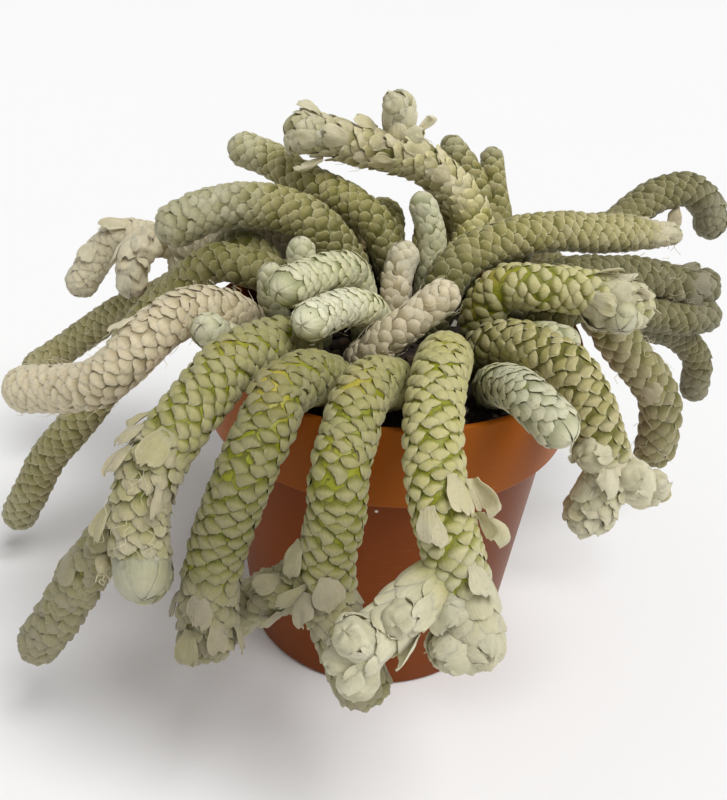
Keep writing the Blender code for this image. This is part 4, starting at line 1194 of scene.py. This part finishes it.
def soil_piece(seed):
    """The potting mix, with a rough top and loose crumbs on it."""
    draw = np.random.default_rng([seed, 100])
    ledge = POT_HEIGHT - COLLAR_HEIGHT + WALL
    edge = wall_radius(SOIL_TOP - 1) - WALL - SEAT
    outline = [(0.0, BASE_THICKNESS + SEAT), (inner_foot() - SEAT, BASE_THICKNESS + SEAT),
               (NECK_RADIUS - WALL - SEAT, ledge - WALL / 2),
               (NECK_RADIUS - WALL / 2 - SEAT, ledge + SEAT),
               (COLLAR_FOOT_RADIUS - WALL - SEAT, ledge + SEAT), (edge, SOIL_TOP - 1)]
    outline += [(r, SOIL_TOP - 0.8 * (r / edge) ** 6) for r in np.linspace(edge - 0.6, 0.6, SOIL_RINGS)]
    outline.append((0.0, SOIL_TOP))
    places, faces = turned(outline, SOIL_SIDES)
    waves = draw.normal(0, 1, (SOIL_WAVES, 2)) * draw.uniform(0.3, 2.6, (SOIL_WAVES, 1))
    phases = draw.uniform(0, FULL_TURN, SOIL_WAVES)
    rough = np.sin(places[:, :2] @ waves.T + phases).sum(1) / 3.5
    top = np.clip((places[:, 2] - SOIL_TOP + 1.5) / 0.7, 0, 1)
    inside = np.clip((edge - np.hypot(places[:, 0], places[:, 1])) / 1.5, 0.15, 1)
    places[:, 2] += SOIL_ROUGHNESS * rough * top * inside
    corners, sides = ball_net()
    size = draw.uniform(0.35, 1.0, GRAINS) ** 1.6 * 1.3
    away = edge * np.sqrt(draw.uniform(0, 0.93, GRAINS))
    turn = draw.uniform(0, FULL_TURN, GRAINS)
    centres = np.stack([away * np.cos(turn), away * np.sin(turn), SOIL_TOP + size * 0.2], 1)
    shape = corners[None] * (1 + draw.uniform(-0.28, 0.28, (GRAINS, GRAIN_CORNERS, 1))) * size[:, None, None]
    crumbs = (shape * (1, 1, 0.75) + centres[:, None]).reshape(-1, 3)
    first = (np.arange(GRAINS) * GRAIN_CORNERS)[:, None, None]
    crumb_faces = (sides[None] + first).reshape(-1, 3) + len(places)
    chance = np.append(np.full(len(places), 0.3), np.repeat(draw.uniform(0, 1, GRAINS), GRAIN_CORNERS))
    obj = new_piece("potting_mix", np.vstack((places, crumbs)), faces + [(crumb_faces, 0)],
                    {"chance": chance})
    finish_piece(obj, [soil_material()], "soil", sharp=25)


# Shader nodes

# The tip colour of each kind of scale, how dark its specks are, and how strong its streaks
SCALE_LOOKS = {
    "yellow_green": ((0.63, 0.585, 0.25), 0.2, 0.22),
    "grey_green": ((0.42, 0.375, 0.13), 0.2, 0.28),
    "mint": ((0.64, 0.64, 0.40), 0.8, 0.18),
    "beige": ((0.78, 0.67, 0.47), 0.45, 0.3),
}

# Colours of small marks, and the collar's colour, painted brighter than the pot's body as painted light
STAIN = (0.16, 0.045, 0.015)
DARK_SPECK = (0.075, 0.045, 0.022)
DUST = (0.42, 0.34, 0.26)
COLLAR_PAINTED_LIGHT = (0.335, 0.086, 0.004)
SCUFF = (0.5, 0.33, 0.24)
PALE_SPECK = (0.75, 0.72, 0.66)
BROWN_CRUMB = (0.12, 0.075, 0.045)
PALE_CRUMB = (0.46, 0.42, 0.36)


def put(tree, kind, settings, inputs):
    """A new node. Each input, by name or number, is a value or a socket to take it from."""
    made = tree.nodes.new(kind)
    for key, value in settings.items():
        setattr(made, key, value)
    for key, value in inputs.items():
        if isinstance(value, bpy.types.NodeSocket):
            tree.links.new(value, made.inputs[key])
        elif made.inputs[key].type == "RGBA":
            made.inputs[key].default_value = (*value[:3], 1.0)
        else:
            made.inputs[key].default_value = value
    return made


def mix(tree, share, one, two, blend="MIX"):
    made = put(tree, "ShaderNodeMix", {"data_type": "RGBA", "blend_type": blend, "clamp_factor": True},
               {0: share, 6: one, 7: two})
    return made.outputs[2]


def ramp(tree, value, low, high, bottom=0.0, top=1.0):
    made = put(tree, "ShaderNodeMapRange", {"interpolation_type": "SMOOTHSTEP"},
               {0: value, 1: low, 2: high, 3: bottom, 4: top})
    return made.outputs[0]


def reckon(tree, how, one, two=0.0, three=0.0):
    made = put(tree, "ShaderNodeMath", {"operation": how}, {0: one, 1: two, 2: three})
    return made.outputs[0]


def times(tree, one, two):
    return reckon(tree, "MULTIPLY", one, two)


def grey(tree, value):
    """A grey of this value, to multiply a colour by."""
    return put(tree, "ShaderNodeCombineColor", {}, {0: value, 1: value, 2: value}).outputs[0]


def height_of(tree, vector):
    return put(tree, "ShaderNodeSeparateXYZ", {}, {0: vector}).outputs[2]


def noise(tree, where, scale, detail=3.0, roughness=0.55):
    made = put(tree, "ShaderNodeTexNoise", {}, {"Vector": where, "Scale": scale, "Detail": detail,
                                               "Roughness": roughness})
    return made.outputs[0]


def look(tree, name):
    made = tree.nodes.new("ShaderNodeAttribute")
    made.attribute_name = name
    return made.outputs["Fac"]


def object_place(tree):
    return tree.nodes.new("ShaderNodeTexCoord").outputs["Object"]


def feed(tree, sockets, values):
    """Links each value to the socket of that name."""
    for key, value in values.items():
        tree.links.new(value, sockets[key])


def new_group(name, inputs, outputs):
    """An empty node group and its ends. Inputs come with their defaults, and outputs with their kinds."""
    tree = bpy.data.node_groups.new(name, "ShaderNodeTree")
    for label, default in inputs.items():
        kind = "Float" if isinstance(default, float) else "Color"
        made = tree.interface.new_socket(label, in_out="INPUT", socket_type="NodeSocket" + kind)
        made.default_value = default
    for label, kind in outputs.items():
        tree.interface.new_socket(label, in_out="OUTPUT", socket_type="NodeSocket" + kind)
    return tree, tree.nodes.new("NodeGroupInput").outputs, tree.nodes.new("NodeGroupOutput").inputs


def papery_scale(name):
    """Colour, height and roughness of papery scales, from where a point lies on its own scale."""
    colours = ("Base", "Tip", "Margin", "Dry", "Bloom", "Crest", "Flesh")
    tree, given, out = new_group(
        name, {**dict.fromkeys(colours, (1.0, 1.0, 1.0, 1.0)), "Specks": 0.3, "Streaks": 0.3},
        {"Color": "Color", "Height": "Float", "Roughness": "Float"})
    where = object_place(tree)
    along, across, chance, dry, crest, bloom = (
        look(tree, key) for key in ("along", "across", "chance", "dry", "crest", "bloom"))
    flesh = mix(tree, crest, given["Flesh"], given["Crest"])
    patch = noise(tree, where, 260.0, 3.0)
    mottle = noise(tree, where, 1300.0, 4.0, 0.65)
    off = times(tree, chance, 37.0)
    lane = put(tree, "ShaderNodeCombineXYZ", {}, {
        0: reckon(tree, "MULTIPLY_ADD", across, 5.0, off), 1: times(tree, along, 1.3), 2: off}).outputs[0]
    streak = noise(tree, lane, 1.7, 3.0, 0.6)
    # The face, from its base to its tip, with a breath of green
    tint = mix(tree, ramp(tree, along, 0.35, 0.95), given["Base"], given["Tip"])
    tint = mix(tree, ramp(tree, chance, 0.45, 1.0, 0.0, 0.6), tint, given["Tip"])
    tint = mix(tree, times(tree, crest, 0.35), tint, given["Crest"])
    green = times(tree, ramp(tree, chance, 0.35, 0.0), ramp(tree, patch, 0.4, 0.62))
    tint = mix(tree, times(tree, green, 0.35), tint, flesh)
    # The edge, the dry paper and the bloom over it
    tint = mix(tree, ramp(tree, look(tree, "edge"), 0.8, 1.0, 0.0, 0.85), tint, given["Margin"])
    worn = times(tree, dry, ramp(tree, patch, 0.25, 0.55, 0.55, 1.0))
    tint = mix(tree, worn, tint, given["Dry"])
    tint = mix(tree, bloom, tint, given["Bloom"])
    # The flesh shows through the base, apart from where the paper is dry or has a bloom, and more at the feet
    # of nested stems, partly as painted shade
    thick = reckon(tree, "SUBTRACT", 1.0, reckon(tree, "MAXIMUM", bloom, times(tree, dry, 0.85)))
    through = ramp(tree, along, 0.74, 0.34)
    through = reckon(tree, "MAXIMUM", through, times(tree, look(tree, "foot_flesh_and_shade"), 0.3))
    tint = mix(tree, times(tree, through, thick), tint, flesh)
    # Mottling, lengthwise streaks, the lightness with its painted shade, stains and dark specks
    shade = reckon(tree, "MULTIPLY_ADD", reckon(tree, "SUBTRACT", mottle, 0.5), 0.3, 1.0)
    lines = times(tree, reckon(tree, "SUBTRACT", streak, 0.5), given["Streaks"])
    shade = times(tree, reckon(tree, "ADD", shade, lines), look(tree, "tone_and_shade"))
    tint = mix(tree, 1.0, tint, grey(tree, shade), "MULTIPLY")
    tint = mix(tree, look(tree, "stain"), tint, STAIN)
    dots = put(tree, "ShaderNodeTexVoronoi", {}, {"Vector": where, "Scale": 950.0}).outputs["Distance"]
    dots = times(tree, ramp(tree, dots, 0.2, 0.1), ramp(tree, patch, 0.52, 0.62))
    tint = mix(tree, times(tree, dots, given["Specks"]), tint, DARK_SPECK)
    rough = reckon(tree, "MULTIPLY_ADD", mottle, 0.3, 0.42)
    feed(tree, out, {
        "Color": tint, "Height": reckon(tree, "MULTIPLY_ADD", streak, 0.7, times(tree, mottle, 0.45)),
        "Roughness": reckon(tree, "MULTIPLY_ADD", dry, 0.12, rough)})
    return tree


def fine_grain(name):
    """A fine grain with wide blotches, for any matt surface."""
    tree, given, out = new_group(name, {"Grain": 2000.0, "Blotch": 150.0, "Contrast": 0.3},
                                 {"Shade": "Color", "Height": "Float"})
    where = object_place(tree)
    grain = noise(tree, where, given["Grain"], 3.0)
    blotch = noise(tree, where, given["Blotch"], 4.0)
    both = reckon(tree, "ADD", times(tree, grain, 0.4), times(tree, blotch, 0.6))
    value = reckon(tree, "MULTIPLY_ADD", reckon(tree, "SUBTRACT", both, 0.5), given["Contrast"], 1.0)
    feed(tree, out, {"Shade": grey(tree, value), "Height": grain})
    return tree


def settled_dust(name):
    """A mask for dust that settles on surfaces facing up, in uneven patches."""
    tree, given, out = new_group(name, {"Amount": 0.3, "Patches": 300.0}, {"Mask": "Float"})
    up = height_of(tree, tree.nodes.new("ShaderNodeNewGeometry").outputs["Normal"])
    patches = noise(tree, object_place(tree), given["Patches"], 5.0, 0.65)
    mask = times(tree, ramp(tree, up, -0.25, 0.9, 0.15, 1.0), ramp(tree, patches, 0.45, 0.75))
    feed(tree, out, {"Mask": times(tree, mask, given["Amount"])})
    return tree


def new_material(name, roughness, **constants):
    """A material whose shader has these values set on its own sockets."""
    made = bpy.data.materials.new(name)
    made.use_nodes = True
    shader = made.node_tree.nodes["Principled BSDF"]
    shader.inputs["Roughness"].default_value = roughness
    for key, value in constants.items():
        shader.inputs[key.replace("_", " ")].default_value = value
    return made, made.node_tree, shader.inputs


def add_bump(tree, sockets, height, distance, strength=1.0):
    made = put(tree, "ShaderNodeBump", {}, {"Height": height, "Distance": distance, "Strength": strength})
    tree.links.new(made.outputs[0], sockets["Normal"])


def add_group(tree, build, values):
    """The outputs of a node group, which its function builds the first time that it is used."""
    group = bpy.data.node_groups.get(build.__name__) or build(build.__name__)
    return put(tree, "ShaderNodeGroup", {"node_tree": group}, values).outputs


def grained(tree, colour, grain):
    """A colour with the grain's shade over it."""
    return mix(tree, 1.0, colour, grain["Shade"], "MULTIPLY")


def scale_materials(slot):
    """The materials of a stem: its scales and the flesh under them."""
    colours = bpy.context.scene.avonia.colours
    kind = slot.replace("scales_", "")
    if kind + "_scales" in bpy.data.materials:
        return [bpy.data.materials[kind + "_scales"], bpy.data.materials[kind + "_flesh"]]
    flesh = getattr(colours, kind + "_flesh")
    crest = colours.crest if kind == "yellow_green" else flesh
    tip, specks, streaks = SCALE_LOOKS[kind]
    made, tree, sockets = new_material(
        kind + "_scales", 0.6, Specular_IOR_Level=0.3, Subsurface_Weight=0.3,
        Subsurface_Radius=(1.0, 0.9, 0.7), Subsurface_Scale=0.0007, Sheen_Weight=0.12)
    skin = add_group(tree, papery_scale, {
        "Base": getattr(colours, kind), "Tip": tip, "Margin": tip if kind == "beige" else colours.margin,
        "Dry": colours.dry, "Flesh": flesh, "Bloom": colours.bloom, "Crest": crest, "Specks": specks,
        "Streaks": streaks})
    feed(tree, sockets, {"Base Color": skin["Color"], "Roughness": skin["Roughness"]})
    add_bump(tree, sockets, skin["Height"], 0.00018)
    flesh_made, tree, sockets = new_material(kind + "_flesh", 0.45)
    grain = add_group(tree, fine_grain, {"Grain": 1500.0, "Blotch": 400.0, "Contrast": 0.8})
    tint = mix(tree, look(tree, "crest"), flesh, crest)
    feed(tree, sockets, {"Base Color": grained(tree, tint, grain)})
    add_bump(tree, sockets, grain["Height"], 0.0002)
    return [made, flesh_made]


def pot_material():
    colours = bpy.context.scene.avonia.colours
    made, tree, sockets = new_material("terracotta_plastic", 0.45, Specular_IOR_Level=0.08)
    grain = add_group(tree, fine_grain, {"Grain": 2600.0, "Blotch": 60.0, "Contrast": 0.35})
    tint = grained(tree, colours.pot, grain)
    dust = add_group(tree, settled_dust, {"Amount": 0.06, "Patches": 240.0})
    tint = mix(tree, dust["Mask"], tint, DUST)
    where = object_place(tree)
    height = height_of(tree, where)
    ledge = POT_HEIGHT - COLLAR_HEIGHT
    # Painted light: above the ledge the collar is painted brighter than the body
    tint = mix(tree, ramp(tree, height, (ledge - 0.5) * MM, (ledge + 0.5) * MM), tint, COLLAR_PAINTED_LIGHT)
    # Scuffs: short level scratches, thickest along the collar's lower edge
    squashed = put(tree, "ShaderNodeVectorMath", {"operation": "MULTIPLY"},
                   {0: where, 1: (1.0, 1.0, 14.0)}).outputs[0]
    scuffs = noise(tree, squashed, 170.0, 4.0, 0.7)
    low = reckon(tree, "ABSOLUTE", reckon(tree, "SUBTRACT", height, (ledge + 1) * MM))
    scuffs = times(tree, ramp(tree, scuffs, 0.6, 0.72), ramp(tree, low, 0.004, 0.0, 0.25, 1.0))
    tint = mix(tree, times(tree, scuffs, 0.3), tint, SCUFF)
    # Tiny pale specks
    dots = put(tree, "ShaderNodeTexVoronoi", {}, {"Vector": where, "Scale": 260.0}).outputs["Distance"]
    few = noise(tree, where, 90.0, 1.0)
    tint = mix(tree, times(tree, ramp(tree, dots, 0.09, 0.05), ramp(tree, few, 0.58, 0.62)), tint, PALE_SPECK)
    rough = reckon(tree, "MULTIPLY_ADD", dust["Mask"], 0.4, 0.38)
    feed(tree, sockets, {"Base Color": tint, "Roughness": reckon(tree, "MULTIPLY_ADD", scuffs, 0.2, rough)})
    add_bump(tree, sockets, grain["Height"], 0.00004, 0.6)
    return made


def soil_material():
    colours = bpy.context.scene.avonia.colours
    made, tree, sockets = new_material("potting_mix", 0.95)
    grain = add_group(tree, fine_grain, {"Grain": 1800.0, "Blotch": 500.0, "Contrast": 1.2})
    chance = look(tree, "chance")
    tint = grained(tree, colours.soil, grain)
    tint = mix(tree, ramp(tree, chance, 0.55, 0.85, 0.0, 0.7), tint, BROWN_CRUMB)
    feed(tree, sockets, {"Base Color": mix(tree, ramp(tree, chance, 0.95, 0.97), tint, PALE_CRUMB)})
    add_bump(tree, sockets, grain["Height"], 0.0004)
    return made


# Stage

def camera_piece():
    """The camera, where it stood for the photo."""
    pitch = math.radians(CAMERA_PITCH)
    roll = math.radians(CAMERA_ROLL)
    back = Vector((0.0, -math.cos(pitch), math.sin(pitch)))
    level = Vector((1.0, 0.0, 0.0))
    upright = level.cross(-back).normalized()
    right = level * math.cos(roll) + upright * math.sin(roll)
    up = upright * math.cos(roll) - level * math.sin(roll)
    aim = Vector([share * RIM_RADIUS for share in CAMERA_AIM])
    place = (aim + back * CAMERA_AWAY * RIM_RADIUS) * MM
    lens = bpy.data.cameras.new("camera")
    lens.lens = CAMERA_LENS
    lens.clip_start = 0.01
    obj = bpy.data.objects.new("camera", lens)
    obj.matrix_world = Matrix.Translation(place) @ Matrix((right, up, back)).transposed().to_4x4()
    bpy.context.scene.collection.objects.link(obj)
    bpy.context.scene.camera = obj


def key_light(strength):
    light = bpy.data.lights.new("key_light", "SUN")
    light.angle = math.radians(LIGHT_SPREAD)
    light.energy = strength
    obj = bpy.data.objects.new("key_light", light)
    obj.location = LIGHT_PLACE
    obj.rotation_euler = (Vector(LIGHT_AIM) - Vector(LIGHT_PLACE)).to_track_quat("-Z", "Y").to_euler()
    bpy.context.scene.collection.objects.link(obj)


def floor_piece(colour):
    turn = round_turns(FLOOR_SIDES)
    places = np.stack([FLOOR_RADIUS * np.cos(turn), FLOOR_RADIUS * np.sin(turn),
                       np.full(FLOOR_SIDES, -FLOOR_DROP)], 1)
    obj = new_piece("floor", places, [(np.arange(FLOOR_SIDES)[None], 0)])
    made, tree, sockets = new_material("pale_floor", 0.8)
    grain = add_group(tree, fine_grain, {"Grain": 400.0, "Blotch": 8.0, "Contrast": 0.03})
    feed(tree, sockets, {"Base Color": grained(tree, colour, grain)})
    obj.data.materials.append(made)


# Settings

def colour_property(name, description, default):
    return FloatVectorProperty(name=name, description=description, default=default, size=3, min=0.0,
                               max=1.0, subtype="COLOR")


class AvoniaColours(PropertyGroup):
    yellow_green: colour_property("Front scales", "Scales of the stems over the front of the rim",
                                  (0.54, 0.50, 0.165))
    yellow_green_flesh: colour_property("Front flesh", "Flesh between the front scales", (0.24, 0.25, 0.006))
    grey_green: colour_property("Grey-green scales", "Scales of the far stems", (0.27, 0.24, 0.06))
    grey_green_flesh: colour_property("Grey-green flesh", "Flesh between the far scales",
                                      (0.15, 0.14, 0.015))
    mint: colour_property("Mint scales", "Scales of the young shoots", (0.46, 0.465, 0.24))
    mint_flesh: colour_property("Mint flesh", "Flesh of the young shoots", (0.24, 0.26, 0.09))
    beige: colour_property("Beige scales", "Scales of the drying stems", (0.60, 0.50, 0.31))
    beige_flesh: colour_property("Beige flesh", "Flesh of the drying stems", (0.36, 0.29, 0.15))
    dry: colour_property("Dry paper", "Old, dried scales", (0.70, 0.62, 0.42))
    margin: colour_property("Scale edge", "The thin edge of a scale", (0.74, 0.68, 0.36))
    bloom: colour_property("Mint bloom", "The waxy bloom on young tips", (0.66, 0.64, 0.47))
    crest: colour_property("Crests", "Flesh where a stem bends over the rim", (0.50, 0.42, 0.06))
    pot: colour_property("Pot", "The pot's plastic", (0.19, 0.040, 0.0015))
    soil: colour_property("Soil", "The potting mix", (0.030, 0.020, 0.014))


class AvoniaSizes(PropertyGroup):
    scale_width: FloatProperty(name="Scale width", description="How wide a scale is at its widest",
                               default=0.0037, min=0.002, max=0.008, subtype="DISTANCE", unit="LENGTH")
    row_spacing: FloatProperty(name="Row spacing", description="How far apart the rows of scales stand",
                               default=0.00134, min=0.001, max=0.005, subtype="DISTANCE", unit="LENGTH")
    seed: IntProperty(name="Seed", description="Changes how the scales lie", default=7, min=0)


class AvoniaStage(PropertyGroup):
    floor: colour_property("Floor", "The pale floor", (0.92, 0.92, 0.92))
    key: FloatProperty(name="Key light", description="Strength of the soft light from above",
                       default=2.45, min=0.0)
    sky: FloatProperty(name="Surroundings", description="Brightness of the white surroundings",
                       default=0.38, min=0.0)


class AvoniaSettings(PropertyGroup):
    colours: PointerProperty(type=AvoniaColours)
    sizes: PointerProperty(type=AvoniaSizes)
    stage: PointerProperty(type=AvoniaStage)


# Operators

def grow_all(context, start):
    """Grows every stem whose name starts in this way."""
    names = [name for name in STEMS if name.startswith(start)]
    if not names:
        raise RuntimeError("No stems are named " + start)
    for name in names:
        grow_stem(name, context.scene.avonia.sizes)
    return {"FINISHED"}


class AVONIA_OT_stage(Operator):
    """Set out the floor, the soft lights and the camera"""
    bl_idname = "avonia.stage"
    bl_label = "Stage"

    def execute(self, context):
        stage = context.scene.avonia.stage
        floor_piece(stage.floor)
        camera_piece()
        key_light(stage.key)
        world = bpy.data.worlds.new("surroundings")
        world.use_nodes = True
        backdrop = world.node_tree.nodes["Background"].inputs
        backdrop["Color"].default_value = (1.0, 1.0, 1.0, 1.0)
        # The camera sees the backdrop as pale as the floor, and the dimmer sky lights the plant
        seen = world.node_tree.nodes.new("ShaderNodeLightPath").outputs["Is Camera Ray"]
        strength = reckon(world.node_tree, "MULTIPLY_ADD", seen, BACKDROP_LIGHT - stage.sky, stage.sky)
        feed(world.node_tree, backdrop, {"Strength": strength})
        context.scene.world = world
        return {"FINISHED"}


class AVONIA_OT_pot(Operator):
    """Turn the nursery pot and fill it with potting mix"""
    bl_idname = "avonia.pot"
    bl_label = "Pot and soil"

    def execute(self, context):
        pot_piece()
        soil_piece(context.scene.avonia.sizes.seed)
        return {"FINISHED"}


class AVONIA_OT_front_stems(Operator):
    """Grow the stems that hang over the front of the rim"""
    bl_idname = "avonia.front_stems"
    bl_label = "Front stems"

    def execute(self, context):
        return grow_all(context, "stem_front")


class AVONIA_OT_left_stems(Operator):
    """Grow the stems that reach to the left"""
    bl_idname = "avonia.left_stems"
    bl_label = "Left stems"

    def execute(self, context):
        return grow_all(context, "stem_left")


class AVONIA_OT_top_stems(Operator):
    """Grow the stems that arch over the top"""
    bl_idname = "avonia.top_stems"
    bl_label = "Top stems"

    def execute(self, context):
        return grow_all(context, "stem_top")


class AVONIA_OT_right_stems(Operator):
    """Grow the stems that reach to the right"""
    bl_idname = "avonia.right_stems"
    bl_label = "Right stems"

    def execute(self, context):
        return grow_all(context, "stem_right")


class AVONIA_OT_back_stems(Operator):
    """Grow the stems that hang over the back of the rim"""
    bl_idname = "avonia.back_stems"
    bl_label = "Back stems"

    def execute(self, context):
        return grow_all(context, "stem_back")


class AVONIA_OT_shoots(Operator):
    """Grow the short young shoots in the middle"""
    bl_idname = "avonia.shoots"
    bl_label = "Young shoots"

    def execute(self, context):
        return grow_all(context, "shoot")


OPERATORS = (AVONIA_OT_stage, AVONIA_OT_pot, AVONIA_OT_front_stems, AVONIA_OT_left_stems,
             AVONIA_OT_top_stems, AVONIA_OT_right_stems, AVONIA_OT_back_stems, AVONIA_OT_shoots)


class AVONIA_PT_panel(Panel):
    """The avonia's settings and the steps that make it"""
    bl_idname = "AVONIA_PT_panel"
    bl_label = "Potted Avonia"
    bl_space_type = "VIEW_3D"
    bl_region_type = "UI"
    bl_category = "Avonia"

    def draw(self, context):
        settings = context.scene.avonia
        for group in (settings.sizes, settings.colours, settings.stage):
            box = self.layout.box()
            for key in group.__annotations__:
                box.prop(group, key)
        for operator in OPERATORS:
            self.layout.operator(operator.bl_idname)


CLASSES = (AvoniaColours, AvoniaSizes, AvoniaStage, AvoniaSettings, *OPERATORS, AVONIA_PT_panel)


def register():
    for made in CLASSES:
        bpy.utils.register_class(made)
    bpy.types.Scene.avonia = PointerProperty(type=AvoniaSettings)


def unregister():
    del bpy.types.Scene.avonia
    for made in reversed(CLASSES):
        bpy.utils.unregister_class(made)


def main():
    register()
    bpy.context.scene.view_settings.view_transform = "Standard"
    bpy.ops.avonia.stage()
    bpy.ops.avonia.pot()
    bpy.ops.avonia.front_stems()
    bpy.ops.avonia.left_stems()
    bpy.ops.avonia.top_stems()
    bpy.ops.avonia.right_stems()
    bpy.ops.avonia.back_stems()
    bpy.ops.avonia.shoots()


if __name__ == "__main__":
    main()
